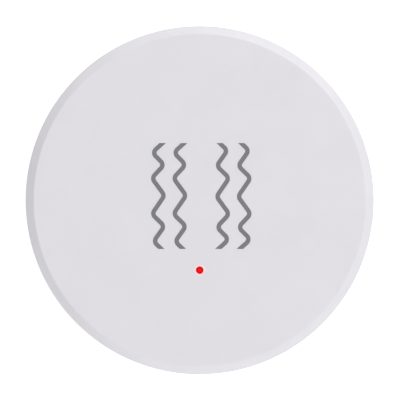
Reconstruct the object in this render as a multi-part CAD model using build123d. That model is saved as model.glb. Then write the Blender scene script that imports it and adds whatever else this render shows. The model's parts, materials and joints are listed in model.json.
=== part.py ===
from build123d import *
import math
import os

# Vibration sensor tag: a round stick-on disc with a coin cell inside.
# The cap twists off the base on a quick thread, so that the cell can be changed.
# Sizes are in millimetres. The tag lies on its adhesive pad, with +Z out of its face.
# The round parts are sized from the inside out: the cell and the room for the
# electronics set the rim, and the rim, thread and cap wall set the outside.

# Coin cell
cell_diameter = 20.0
cell_height = 3.2
cell_rim_lift = 0.3
cell_edge_rounding = 0.35
cell_rim_width = 0.76
cell_seal_wall = 0.4
cell_seal_recess = 0.15
cell_pocket_depth = 0.6
cell_fit = 0.02

# Heights of the stack, from the mounting surface up
pad_height = 0.8
floor_thickness = 1.4
under_board_room = 1.0
board_thickness = 0.8
cell_standoff = 0.6
cell_headroom = 0.8
cap_top_thickness = 1.4

# Widths of the stack, from the cell outwards
holder_clearance = 0.2
holder_wall = 0.8
holder_rim_gap = 0.4
electronics_room = 10.0
rim_wall = 1.2
thread_depth = 0.8
thread_tip_clearance = 0.4
cap_wall = 1.4

# Outside edges
cap_chamfer = 1.0
cap_edge_rounding = 0.28
parting_gap = 0.2
parting_rounding = 0.15
base_edge_chamfer = 0.5
pad_inset = 1.4

# Quick thread: three short starts on the base and three in the cap
thread_starts = 3
thread_lead = 24.0
lug_span_angle = 30.0
lug_sections = 7
lug_thickness = 0.9
lug_clearance = 0.15
lug_embed_depth = 0.2
lug_height_on_base = 2.4
first_lug_angle = 200.0
stop_angle = 3.0
stop_gap_angle = 0.5
stop_height = 2.8

# Flat seal ring between the base's rim and the cap
gasket_thickness = 0.8
gasket_inset = 0.2
gasket_wall = 2.4

# Circuit board
board_clearance = 0.3
board_key_angle = 150.0
board_key_depth = 1.0
board_key_width = 1.6
board_key_clearance = 0.15

# Board screws, self-cutting into bosses on the base
screw_angles = (195.0, 270.0, 345.0)
screw_edge_distance = 2.2
screw_diameter = 1.6
screw_head_diameter = 3.0
screw_head_height = 0.9
screw_head_rounding = 0.3
screw_length = 2.5
screw_hole_clearance = 0.15
screw_thread_fit = 0.03
screw_slot_width = 0.4
screw_slot_length = 1.8
screw_slot_depth = 0.45
boss_wall = 0.9
boss_hole_extra = 0.1

# Cell holder and its contacts
holder_height = 3.2
holder_ledge_width = 0.7
holder_notch_angle = 235.0
holder_notch_width = 9.0
holder_notch_depth = 1.8
contact_angle = 180.0
contact_thickness = 0.15
contact_width = 3.6
contact_side_clearance = 0.2
contact_gap = 0.05
contact_height = 2.7
contact_flare_length = 0.5
contact_flare_height = 0.5
contact_foot_length = 3.0
contact_bend_radius = 0.3
lower_contact_width = 2.6
lower_contact_reach = 5.6
lower_contact_tip = 1.0
lower_contact_foot = 1.5

# Indicator: a lamp on the board and a light pipe up to the face
led_length = 3.0
led_width = 2.0
led_height = 1.3
led_holder_gap = 0.8
led_cup_radius = 0.75
led_cup_depth = 0.5
led_window_fit = 0.02
pipe_tip_diameter = 0.82
pipe_stem_diameter = 1.6
pipe_led_gap = 0.2
pipe_flange_diameter = 2.6
pipe_flange_height = 0.6
pipe_fit = 0.03
sleeve_wall = 0.75
sleeve_length = 1.2

# Foam on the cap's ceiling that keeps the cell down
cushion_diameter = 12.0
cushion_height = 0.6

# Printed pictogram: four wavy lines, the right pair turned half round from the left
mark_height = 12.1
mark_line_width = 0.5
mark_spacing = 2.46
mark_half_width = 0.72
mark_corner_radius = 0.55
mark_depth = 0.1
mark_fit = 0.01
mark_centre_x = 0.18
mark_centre_y = 0.48
mark_overrun_share = 0.5
mark_sway_shares = (0.70, -0.97, 0.95, -1.02, 1.00, -1.01, 0.98, -0.74, 0.49)
mark_rise_shares = (1.00, 0.82, 0.59, 0.34, 0.01, -0.34, -0.57, -0.86, -1.00)

# Setting button
switch_length = 3.9
switch_width = 2.9
switch_body_height = 1.6
switch_well_radius = 1.3
switch_well_depth = 1.1
switch_cover_thickness = 0.15
switch_cover_inset = 0.1
switch_hole_clearance = 0.15
switch_terminal_width = 0.5
switch_terminal_length = 0.35
switch_terminal_height = 0.6
switch_terminal_spacing = 1.9
plunger_radius = 0.85
plunger_flange_radius = 1.15
plunger_flange_height = 0.4
plunger_clearance = 0.05
plunger_proud_height = 0.55
plunger_rounding = 0.15
dome_thickness = 0.1
dome_rise = 0.2
dome_radius = 1.2

# Packages soldered to the board
radio_chip_side = 5.0
radio_chip_height = 0.85
accelerometer_side = 2.0
accelerometer_height = 1.0
package_chamfer = 0.12
package_dot_radius = 0.25
package_dot_depth = 0.06
package_dot_inset = 0.55
radio_crystal_length = 2.0
radio_crystal_width = 1.6
radio_crystal_height = 0.55
clock_crystal_length = 3.2
clock_crystal_width = 1.5
clock_crystal_height = 0.8
crystal_lid_inset = 0.15
crystal_lid_height = 0.2
antenna_length = 3.2
antenna_width = 1.6
antenna_height = 1.1
bulk_capacitor_length = 3.2
bulk_capacitor_width = 1.6
bulk_capacitor_height = 1.6
small_part_length = 1.0
small_part_width = 0.5
capacitor_height = 0.5
resistor_height = 0.35
inductor_height = 0.45
small_part_rounding = 0.06
test_pad_radius = 0.6
test_pad_height = 0.04
test_pad_gap = 1.0
test_pad_angles = (-34.0, -42.0, -50.0, -58.0)

# Places on the board beside the holder. The angle is about the tag's axis, and
# the share runs from the holder's edge (0) to the board's edge (1).
radio_chip_angle, radio_chip_share = -124.0, 0.49
accelerometer_angle, accelerometer_share = -77.5, 0.51
radio_crystal_angle, radio_crystal_share = -100.0, 0.47
clock_crystal_angle, clock_crystal_share = -64.0, 0.30
switch_angle, switch_share = -44.5, 0.69
antenna_angle, antenna_share = -152.5, 0.69
bulk_capacitor_angle, bulk_capacitor_share = -64.0, 0.73
# Each small part is an angle, a share and the way that it is turned.
capacitor_place_shares = (
    (-137.0, 0.17, 0.0), (-143.5, 0.30, 0.0), (-138.5, 0.66, 90.0), (-134.0, 0.78, 90.0),
    (-111.5, 0.76, 0.0), (-117.0, 0.83, 0.0), (-67.0, 0.50, 0.0),
)
resistor_place_shares = (
    (-104.5, 0.27, 90.0), (-109.0, 0.11, 90.0), (-56.0, 0.50, 90.0), (-145.5, 0.49, 90.0),
)
inductor_place_shares = ((-143.5, 0.73, 0.0), (-140.0, 0.83, 0.0))

# How far a cut runs past the face that it opens
cut_overrun = 0.5

# Heights worked out from the stack
pad_top = pad_height
floor_top = pad_top + floor_thickness
board_bottom = floor_top + under_board_room
board_top = board_bottom + board_thickness
cell_bottom = board_top + cell_standoff
cell_top = cell_bottom + cell_height
ceiling = cell_top + cell_headroom
tag_top = ceiling + cap_top_thickness
skirt_bottom = floor_top + parting_gap
rim_top = ceiling - gasket_thickness
holder_top = board_top + holder_height
led_top = board_top + led_height
pipe_bottom = led_top + pipe_led_gap

# Radii worked out from the inside out, which bring the tag to 40 mm across
cell_radius = cell_diameter / 2
cell_pocket_radius = cell_radius - cell_rim_width
cell_seal_radius = cell_pocket_radius - cell_fit
cell_lid_radius = cell_seal_radius - cell_seal_wall - cell_fit
holder_inner_radius = cell_radius + holder_clearance
holder_outer_radius = holder_inner_radius + holder_wall
rim_inner_radius = (holder_rim_gap + 2 * holder_outer_radius + electronics_room) / 2
rim_outer_radius = rim_inner_radius + rim_wall
base_lug_radius = rim_outer_radius + thread_depth
cap_inner_radius = base_lug_radius + thread_tip_clearance
cap_lug_radius = cap_inner_radius - thread_depth
tag_radius = cap_inner_radius + cap_wall
board_radius = rim_inner_radius - board_clearance
screw_circle_radius = board_radius - screw_edge_distance
pad_radius = tag_radius - pad_inset

# Places worked out from those
cell_y = rim_inner_radius - holder_rim_gap - holder_outer_radius
dot_y = cell_y - holder_outer_radius - led_holder_gap - led_width / 2
lug_rise = thread_lead * lug_span_angle / 360
base_lug_start = floor_top + lug_height_on_base
cap_lug_start = base_lug_start - lug_thickness - lug_clearance
cell_place = Pos(0, cell_y, 0)
dot_place = Pos(0, dot_y, 0)

STANDING = (Align.CENTER, Align.CENTER, Align.MIN)


def disc(radius, bottom, top):
    return Pos(0, 0, bottom) * Cylinder(radius, top - bottom, align=STANDING)


def ring(outer_radius, inner_radius, bottom, top):
    bore = disc(inner_radius, bottom - cut_overrun, top + cut_overrun)
    return disc(outer_radius, bottom, top) - bore


def block(length, width, bottom, top):
    return Pos(0, 0, bottom) * Box(length, width, top - bottom, align=STANDING)


def turned(corners):
    """Turn an outline about Z. Each corner is a radius, a height and a rounding."""
    points = [(radius, height) for radius, height, rounding in corners]
    roundings = [rounding for radius, height, rounding in corners]
    outline = FilletPolyline(*points, radius=roundings, close=True)
    return revolve(Plane.XZ * make_face(outline), Axis.Z)


def polar(angle, radius):
    turn = math.radians(angle)
    return Pos(radius * math.cos(turn), radius * math.sin(turn), 0)


def spoke(angle, radius):
    """A place on a circle about Z, turned so that its X axis points outwards."""
    return Rot(0, 0, angle) * Pos(radius, 0, 0)


def beside_holder(angle, share, turn=0):
    """A place on the board between the cell holder's edge and the board's edge."""
    direction = math.radians(angle)
    along = cell_y * math.sin(direction)
    across = cell_y * math.cos(direction)
    inner_radius = along + math.sqrt(holder_outer_radius ** 2 - across ** 2)
    radius = inner_radius + share * (board_radius - inner_radius)
    return polar(angle, radius) * Pos(0, 0, board_top) * Rot(0, 0, turn)


# Quick thread

def thread_lug(root_radius, tip_radius, start_angle, start_height):
    """One start of the thread: a bar that climbs round Z from its start."""
    depth = abs(root_radius - tip_radius)
    middle_radius = (root_radius + tip_radius) / 2
    sections = []
    for index in range(lug_sections):
        part_way = index / (lug_sections - 1)
        turn = math.radians(start_angle + part_way * lug_span_angle)
        outward = Vector(math.cos(turn), math.sin(turn), 0)
        forward = Vector(-math.sin(turn), math.cos(turn), 0)
        centre = outward * middle_radius + Vector(0, 0, start_height + part_way * lug_rise)
        sections.append(Plane(centre, x_dir=outward, z_dir=forward) * Rectangle(depth, lug_thickness))
    return loft(sections)


def thread_start_angles():
    return [first_lug_angle + index * 360 / thread_starts for index in range(thread_starts)]


def base_lugs():
    root_radius = rim_outer_radius - lug_embed_depth
    return [thread_lug(root_radius, base_lug_radius, angle, base_lug_start)
            for angle in thread_start_angles()]


def cap_lugs():
    root_radius = cap_inner_radius + lug_embed_depth
    return [thread_lug(root_radius, cap_lug_radius, angle, cap_lug_start)
            for angle in thread_start_angles()]


def stop_block():
    """Stops the first cap lug when the cap is closed."""
    root_radius = rim_outer_radius - lug_embed_depth
    depth = base_lug_radius - root_radius
    width = math.radians(stop_angle) * rim_outer_radius
    angle = first_lug_angle - stop_gap_angle - stop_angle / 2
    body = block(depth, width, floor_top, floor_top + stop_height)
    return spoke(angle, root_radius + depth / 2) * body


# Base and what holds it to a surface

def make_adhesive_pad():
    return turned([
        (0, 0, 0),
        (pad_radius, 0, 0),
        (pad_radius, pad_top, 0),
        (0, pad_top, 0),
    ])


def board_boss():
    boss_radius = screw_diameter / 2 + boss_wall
    return disc(boss_radius, floor_top, board_bottom)


def boss_hole():
    hole_radius = screw_diameter / 2 + screw_thread_fit
    hole_bottom = board_top - screw_length - boss_hole_extra
    return disc(hole_radius, hole_bottom, board_bottom + cut_overrun)


def board_key(clearance, bottom, top):
    depth = board_key_depth + clearance
    width = board_key_width + 2 * clearance
    reach = depth + rim_wall / 2
    key = block(reach, width, bottom, top)
    return spoke(board_key_angle, rim_inner_radius - depth + reach / 2) * key


def make_base():
    base = turned([
        (0, pad_top, 0),
        (tag_radius - base_edge_chamfer, pad_top, 0),
        (tag_radius, pad_top + base_edge_chamfer, parting_rounding),
        (tag_radius, floor_top, parting_rounding),
        (rim_outer_radius, floor_top, 0),
        (rim_outer_radius, rim_top, parting_rounding),
        (rim_inner_radius, rim_top, parting_rounding),
        (rim_inner_radius, floor_top, 0),
        (0, floor_top, 0),
    ])
    for lug in base_lugs():
        base += lug
    base += stop_block()
    base += board_key(0, floor_top, board_top)
    for angle in screw_angles:
        base += polar(angle, screw_circle_radius) * board_boss()
    for angle in screw_angles:
        base -= polar(angle, screw_circle_radius) * boss_hole()
    return base


# Cap and what it carries

def sleeve_outer_radius():
    return pipe_flange_diameter / 2 + pipe_fit + sleeve_wall


def make_top_cover():
    cover = turned([
        (0, ceiling, 0),
        (cap_inner_radius, ceiling, 0),
        (cap_inner_radius, skirt_bottom, parting_rounding),
        (tag_radius, skirt_bottom, parting_rounding),
        (tag_radius, tag_top - cap_chamfer, parting_rounding),
        (tag_radius - cap_chamfer, tag_top, cap_edge_rounding),
        (0, tag_top, 0),
    ])
    for lug in cap_lugs():
        cover += lug
    cover += dot_place * disc(sleeve_outer_radius(), ceiling - sleeve_length, ceiling)
    bore_radius = pipe_flange_diameter / 2 + pipe_fit
    cover -= dot_place * disc(bore_radius, ceiling - sleeve_length - cut_overrun, ceiling)
    tip_radius = pipe_tip_diameter / 2 + pipe_fit
    cover -= dot_place * disc(tip_radius, ceiling - cut_overrun, tag_top + cut_overrun)
    for column in mark_columns():
        cover -= mark_solid(column, mark_fit, cut_overrun)
    return cover


def make_light_pipe():
    tip_radius = pipe_tip_diameter / 2
    stem_radius = pipe_stem_diameter / 2
    flange_radius = pipe_flange_diameter / 2
    flange_bottom = ceiling - pipe_flange_height
    return dot_place * turned([
        (0, pipe_bottom, 0),
        (stem_radius, pipe_bottom, 0),
        (stem_radius, flange_bottom, 0),
        (flange_radius, flange_bottom, 0),
        (flange_radius, ceiling, 0),
        (tip_radius, ceiling, 0),
        (tip_radius, tag_top, 0),
        (0, tag_top, 0),
    ])


def make_cell_cushion():
    return cell_place * disc(cushion_diameter / 2, ceiling - cushion_height, ceiling)


def make_sealing_gasket():
    outer_radius = cap_inner_radius - gasket_inset
    return ring(outer_radius, outer_radius - gasket_wall, rim_top, ceiling)


# Pictogram

def mark_columns():
    """Places of the four lines, in steps of the spacing from the pictogram's middle."""
    return (-2, -1, 1, 2)


def mark_path():
    half_height = mark_height / 2
    points = [Vector(mark_half_width * sway, half_height * rise)
              for sway, rise in zip(mark_sway_shares, mark_rise_shares)]
    points[0] = points[0] + (points[0] - points[1]) * mark_overrun_share
    points[-1] = points[-1] + (points[-1] - points[-2]) * mark_overrun_share
    return FilletPolyline(*points, radius=mark_corner_radius)


def mark_solid(column, clearance, overrun):
    """One wavy line, cut off level at both ends."""
    height = mark_depth + overrun
    line = extrude(trace(mark_path(), line_width=mark_line_width + 2 * clearance), height)
    window = block(2 * mark_spacing, mark_height + 2 * clearance, 0, height)
    turn = 0 if column < 0 else 180
    place = Pos(mark_centre_x + column * mark_spacing, mark_centre_y, tag_top - mark_depth)
    return place * Rot(0, 0, turn) * (line & window)


# Coin cell

def make_cell_can():
    can = turned([
        (0, cell_bottom + cell_rim_lift, 0),
        (cell_radius, cell_bottom + cell_rim_lift, cell_edge_rounding),
        (cell_radius, cell_top, cell_edge_rounding),
        (0, cell_top, 0),
    ])
    pocket_top = cell_bottom + cell_rim_lift + cell_pocket_depth
    pocket = disc(cell_pocket_radius, cell_bottom, pocket_top)
    return cell_place * (can - pocket)


def make_cell_seal():
    seal_bottom = cell_bottom + cell_seal_recess
    seal_top = cell_bottom + cell_rim_lift + cell_pocket_depth
    return cell_place * ring(cell_seal_radius, cell_seal_radius - cell_seal_wall, seal_bottom, seal_top)


def make_cell_lid():
    lid_top = cell_bottom + cell_rim_lift + cell_pocket_depth
    return cell_place * turned([
        (0, cell_bottom, 0),
        (cell_lid_radius, cell_bottom, cell_rim_lift),
        (cell_lid_radius, lid_top, 0),
        (0, lid_top, 0),
    ])


# Holder and contacts

def make_cell_holder():
    ledge_top = cell_bottom + cell_rim_lift
    holder = ring(holder_outer_radius, holder_inner_radius, board_top, holder_top)
    holder += ring(holder_inner_radius + holder_wall / 2, holder_inner_radius - holder_ledge_width,
                   board_top, ledge_top)
    notch = block(4 * holder_wall, holder_notch_width, holder_top - holder_notch_depth,
                  holder_top + cut_overrun)
    holder -= spoke(holder_notch_angle, holder_outer_radius) * notch
    window_width = contact_width + 2 * contact_side_clearance
    window_reach = holder_ledge_width + holder_wall + 2 * cut_overrun
    window = block(window_reach, window_width, board_top - cut_overrun, holder_top + cut_overrun)
    window_middle = (holder_inner_radius - holder_ledge_width + holder_outer_radius) / 2
    holder -= spoke(contact_angle, window_middle) * window
    return cell_place * holder


def bent_strip(points, width):
    """A strip of sheet metal whose middle line runs through points of X and Z."""
    path = FilletPolyline(*points, radius=contact_bend_radius)
    section = Plane.XZ * trace(path, line_width=contact_thickness)
    return extrude(section, width / 2, both=True)


def make_positive_contact():
    foot_height = board_top + contact_thickness / 2
    leg_radius = cell_radius + contact_gap + contact_thickness / 2
    leg_top = board_top + contact_height
    strip = bent_strip([
        (leg_radius + contact_foot_length, foot_height),
        (leg_radius, foot_height),
        (leg_radius, leg_top - contact_flare_height),
        (leg_radius + contact_flare_length, leg_top),
    ], contact_width)
    return cell_place * Rot(0, 0, contact_angle) * strip


def make_negative_contact():
    foot_height = board_top + contact_thickness / 2
    tip_height = cell_bottom - contact_thickness / 2
    knee = lower_contact_reach - lower_contact_tip
    strip = bent_strip([
        (-lower_contact_reach, tip_height),
        (-knee, tip_height),
        (-lower_contact_foot, foot_height),
        (lower_contact_foot, foot_height),
        (knee, tip_height),
        (lower_contact_reach, tip_height),
    ], lower_contact_width)
    return cell_place * strip


# Circuit board and its screws

def make_circuit_board():
    board = disc(board_radius, board_bottom, board_top)
    hole_radius = screw_diameter / 2 + screw_hole_clearance
    for angle in screw_angles:
        hole = disc(hole_radius, board_bottom - cut_overrun, board_top + cut_overrun)
        board -= polar(angle, screw_circle_radius) * hole
    board -= board_key(board_key_clearance, board_bottom - cut_overrun, board_top + cut_overrun)
    return board


def board_screw():
    head_top = board_top + screw_head_height
    screw = turned([
        (0, board_top - screw_length, 0),
        (screw_diameter / 2, board_top - screw_length, 0),
        (screw_diameter / 2, board_top, 0),
        (screw_head_diameter / 2, board_top, 0),
        (screw_head_diameter / 2, head_top, screw_head_rounding),
        (0, head_top, 0),
    ])
    slot = block(screw_slot_length, screw_slot_width, head_top - screw_slot_depth, head_top + cut_overrun)
    return screw - slot - Rot(0, 0, 90) * slot


def make_board_screws():
    return [polar(angle, screw_circle_radius) * board_screw() for angle in screw_angles]


# Indicator lamp

def make_led_package():
    package = block(led_length, led_width, board_top, led_top)
    cup = disc(led_cup_radius, led_top - led_cup_depth, led_top + cut_overrun)
    return dot_place * (package - cup)


def make_led_window():
    return dot_place * disc(led_cup_radius - led_window_fit, led_top - led_cup_depth, led_top)


# Setting button. Its parts are made with the board's surface at height zero.

def at_switch(shape):
    return beside_holder(switch_angle, switch_share) * shape


def make_switch_body():
    body = block(switch_length, switch_width, 0, switch_body_height)
    well_bottom = switch_body_height - switch_well_depth
    return at_switch(body - disc(switch_well_radius, well_bottom, switch_body_height + cut_overrun))


def make_switch_cover():
    length = switch_length - 2 * switch_cover_inset
    width = switch_width - 2 * switch_cover_inset
    cover_top = switch_body_height + switch_cover_thickness
    cover = block(length, width, switch_body_height, cover_top)
    hole_radius = plunger_radius + switch_hole_clearance
    return at_switch(cover - disc(hole_radius, 0, cover_top + cut_overrun))


def make_switch_terminals():
    terminals = []
    for side in (-1, 1):
        for end in (-1, 1):
            x = side * (switch_length + switch_terminal_length) / 2
            y = end * switch_terminal_spacing / 2
            terminal = block(switch_terminal_length, switch_terminal_width, 0, switch_terminal_height)
            terminals.append(at_switch(Pos(x, y, 0) * terminal))
    return terminals


def make_switch_dome():
    well_bottom = switch_body_height - switch_well_depth
    dome_top = well_bottom + dome_rise + dome_thickness
    return at_switch(turned([
        (0, well_bottom + dome_rise, 0),
        (dome_radius / 2, well_bottom + dome_rise, 0),
        (dome_radius - dome_thickness, well_bottom, 0),
        (dome_radius, well_bottom, 0),
        (dome_radius, well_bottom + dome_thickness, 0),
        (dome_radius / 2 + dome_thickness, dome_top, 0),
        (0, dome_top, 0),
    ]))


def make_switch_plunger():
    flange_top = switch_body_height - plunger_clearance
    flange_bottom = flange_top - plunger_flange_height
    stem_top = switch_body_height + switch_cover_thickness + plunger_proud_height
    return at_switch(turned([
        (0, flange_bottom, 0),
        (plunger_flange_radius, flange_bottom, 0),
        (plunger_flange_radius, flange_top, 0),
        (plunger_radius, flange_top, 0),
        (plunger_radius, stem_top, plunger_rounding),
        (0, stem_top, 0),
    ]))


# Packages soldered to the board, made with the board's surface at height zero

def moulded_package(side, height):
    """A square black package with softened upper edges and a dimple at pin one."""
    package = block(side, side, 0, height)
    package = chamfer(package.edges().group_by(Axis.Z)[-1], package_chamfer)
    corner = side / 2 - package_dot_inset
    dimple = disc(package_dot_radius, height - package_dot_depth, height + cut_overrun)
    return package - Pos(-corner, corner, 0) * dimple


def crystal(length, width, height):
    """A ceramic tray with a thin metal lid on it."""
    tray_top = height - crystal_lid_height
    lid = block(length - 2 * crystal_lid_inset, width - 2 * crystal_lid_inset, tray_top, height)
    return block(length, width, 0, tray_top) + lid


def small_part(height):
    """A chip resistor, capacitor or inductor."""
    part = block(small_part_length, small_part_width, 0, height)
    return fillet(part.edges().group_by(Axis.Z)[-1], small_part_rounding)


def small_parts(places, height):
    return [beside_holder(angle, share, turn) * small_part(height) for angle, share, turn in places]


def make_radio_chip():
    return beside_holder(radio_chip_angle, radio_chip_share) * moulded_package(
        radio_chip_side, radio_chip_height)


def make_accelerometer():
    return beside_holder(accelerometer_angle, accelerometer_share) * moulded_package(
        accelerometer_side, accelerometer_height)


def make_radio_crystal():
    return beside_holder(radio_crystal_angle, radio_crystal_share) * crystal(
        radio_crystal_length, radio_crystal_width, radio_crystal_height)


def make_clock_crystal():
    return beside_holder(clock_crystal_angle, clock_crystal_share) * crystal(
        clock_crystal_length, clock_crystal_width, clock_crystal_height)


def make_chip_antenna():
    body = block(antenna_length, antenna_width, 0, antenna_height)
    body = fillet(body.edges().group_by(Axis.Z)[-1], small_part_rounding)
    return beside_holder(antenna_angle, antenna_share) * body


def make_bulk_capacitor():
    body = block(bulk_capacitor_length, bulk_capacitor_width, 0, bulk_capacitor_height)
    body = chamfer(body.edges().group_by(Axis.Z)[-1], package_chamfer)
    return beside_holder(bulk_capacitor_angle, bulk_capacitor_share) * body


def make_test_pads():
    pad_circle = holder_outer_radius + test_pad_gap + test_pad_radius
    pad = disc(test_pad_radius, board_top, board_top + test_pad_height)
    return [cell_place * polar(angle, pad_circle) * pad for angle in test_pad_angles]


def all_nodes():
    nodes = {
        "base": make_base(),
        "adhesive_pad": make_adhesive_pad(),
        "circuit_board": make_circuit_board(),
        "board_screws": make_board_screws(),
        "cell_holder": make_cell_holder(),
        "positive_contact": make_positive_contact(),
        "negative_contact": make_negative_contact(),
        "cell_can": make_cell_can(),
        "cell_seal": make_cell_seal(),
        "cell_lid": make_cell_lid(),
        "top_cover": make_top_cover(),
        "sealing_gasket": make_sealing_gasket(),
        "light_pipe": make_light_pipe(),
        "cell_cushion": make_cell_cushion(),
        "led_package": make_led_package(),
        "led_window": make_led_window(),
        "switch_body": make_switch_body(),
        "switch_cover": make_switch_cover(),
        "switch_terminals": make_switch_terminals(),
        "switch_dome": make_switch_dome(),
        "switch_plunger": make_switch_plunger(),
        "radio_chip": make_radio_chip(),
        "accelerometer": make_accelerometer(),
        "radio_crystal": make_radio_crystal(),
        "clock_crystal": make_clock_crystal(),
        "chip_antenna": make_chip_antenna(),
        "bulk_capacitor": make_bulk_capacitor(),
        "ceramic_capacitors": small_parts(capacitor_place_shares, capacitor_height),
        "chip_resistors": small_parts(resistor_place_shares, resistor_height),
        "chip_inductors": small_parts(inductor_place_shares, inductor_height),
        "test_pads": make_test_pads(),
    }
    mark_names = ("outer_left_wave", "inner_left_wave", "inner_right_wave", "outer_right_wave")
    for name, column in zip(mark_names, mark_columns()):
        nodes[name] = mark_solid(column, 0, 0)
    return nodes


os.makedirs("parts", exist_ok=True)
for node_name, node_shape in all_nodes().items():
    if isinstance(node_shape, list):
        node_shape = Compound(node_shape)
    export_step(node_shape, f"parts/{node_name}.step")
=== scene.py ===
import json
import math
from collections import namedtuple

import bmesh
import bpy
from bpy.props import FloatProperty, FloatVectorProperty, IntProperty, PointerProperty
from mathutils import Matrix, Vector


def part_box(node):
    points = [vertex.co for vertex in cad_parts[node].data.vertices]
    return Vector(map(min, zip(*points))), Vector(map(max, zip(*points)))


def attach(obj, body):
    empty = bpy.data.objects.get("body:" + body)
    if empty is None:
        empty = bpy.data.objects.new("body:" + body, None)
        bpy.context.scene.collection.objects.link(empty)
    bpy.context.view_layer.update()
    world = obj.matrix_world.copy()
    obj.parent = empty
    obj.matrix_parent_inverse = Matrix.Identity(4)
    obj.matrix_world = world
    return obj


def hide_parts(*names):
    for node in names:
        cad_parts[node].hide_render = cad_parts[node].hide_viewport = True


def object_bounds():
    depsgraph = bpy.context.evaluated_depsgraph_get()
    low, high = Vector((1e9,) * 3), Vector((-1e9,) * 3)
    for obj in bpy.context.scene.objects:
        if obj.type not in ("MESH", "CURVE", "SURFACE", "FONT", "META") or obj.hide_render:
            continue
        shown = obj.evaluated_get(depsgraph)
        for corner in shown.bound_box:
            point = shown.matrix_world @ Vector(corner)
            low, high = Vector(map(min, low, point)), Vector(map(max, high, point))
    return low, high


bl_info = {
    "name": "Vibration Sensor Tag",
    "version": (1, 0, 0),
    "blender": (4, 5, 0),
    "location": "3D View > Sidebar > Sensor Tag",
    "description": "Builds a round stick-on vibration sensor tag around its packed model",
    "category": "Mesh",
}

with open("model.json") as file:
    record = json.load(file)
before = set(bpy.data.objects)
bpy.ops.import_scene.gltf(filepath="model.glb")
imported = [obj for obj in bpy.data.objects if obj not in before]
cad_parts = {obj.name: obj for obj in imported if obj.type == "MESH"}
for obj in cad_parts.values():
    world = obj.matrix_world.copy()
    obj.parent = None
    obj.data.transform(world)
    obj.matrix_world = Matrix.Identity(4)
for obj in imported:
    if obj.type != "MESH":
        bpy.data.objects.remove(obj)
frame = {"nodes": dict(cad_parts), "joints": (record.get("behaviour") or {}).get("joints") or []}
CAD_LOW, CAD_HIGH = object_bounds()

# Working tolerances in metres: what counts as one point, how far a cutter or a joined piece runs past the
# face that it meets, and how far a thin layer reaches into what it lies on
MERGE_DISTANCE = 1e-7
OVERRUN = 0.0003
SINK = 0.00005

FULL_TURN = 2 * math.pi
TURN_STEPS = 192
SMALL_TURN_STEPS = 48
VIA_STEPS = 16
# With this count the cuts leave the cap's mesh closed
SLEEVE_STEPS = 40
ROUND_SEGMENTS = 4
WAVE_SEGMENTS = 12
EDGE_SEGMENTS = 2
ROUND_PROFILE = 0.5
# Rounding of a thin piece's edges, as a share of its thickness
THIN_ROUNDING = 0.25

# Shading: which edges stay sharp, in degrees, and how much large faces lead
SHARP_ANGLE = 35
FLAT_FACE_WEIGHT = 100

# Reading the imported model: which faces count as one plane, in degrees, which edges count as the longest, and
# how upright a level face's normal is
PLANE_ANGLE = 1
LONG_EDGE_SHARE = 0.99
LEVEL_NORMAL = 0.5

# Finishes: where the mottle's two tones lie in its noise, how finely a noise is broken up, and the stretch of
# drawn lines along each axis
MOTTLE_STOPS = (0.3, 0.7)
SOFT_DETAIL = 2.0
FINE_DETAIL = 3.0
EVEN = (1, 1, 1)
ROLLED = (0.04, 1, 1)
LAYERED = (1, 1, 4)

# The wavy line: sideways and upward shares of its half width and half height
WAVE_SWAY_SHARES = (0.70, -0.97, 0.95, -1.02, 1.00, -1.01, 0.98, -0.74, 0.49)
WAVE_RISE_SHARES = (1.00, 0.82, 0.59, 0.34, 0.01, -0.34, -0.57, -0.86, -1.00)
# How far a line runs on past its ends before it is trimmed, as a share of its last leg
WAVE_OVERRUN_SHARE = 0.5

# Where the lit tip's painted glow darkens towards its rim, as painted shade at the edge of its hole, and where
# the painted glow round it fades, in tip radii
RIM_START = 0.2
RIM_END = 1.0
GLOW_START = 0.95
GLOW_END = 1.85

# The photograph's frame and the disc's place in it, in pixels
PHOTO_WIDTH = 400
DISC_CENTRE_X = 199.7
DISC_CENTRE_Y = 200.2
DISC_RADIUS = 174.25


def length(name, default, description):
    """A size in metres that the sidebar shows."""
    return FloatProperty(name=name, description=description, default=default, min=0, unit="LENGTH",
                         precision=5)


def number(name, default, description):
    """A plain number that the sidebar shows."""
    return FloatProperty(name=name, description=description, default=default)


def colour(name, default, description):
    """A colour, as linear values, that the sidebar shows."""
    return FloatVectorProperty(name=name, description=description, default=default,
                               size=3, min=0, max=1, subtype="COLOR")


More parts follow.
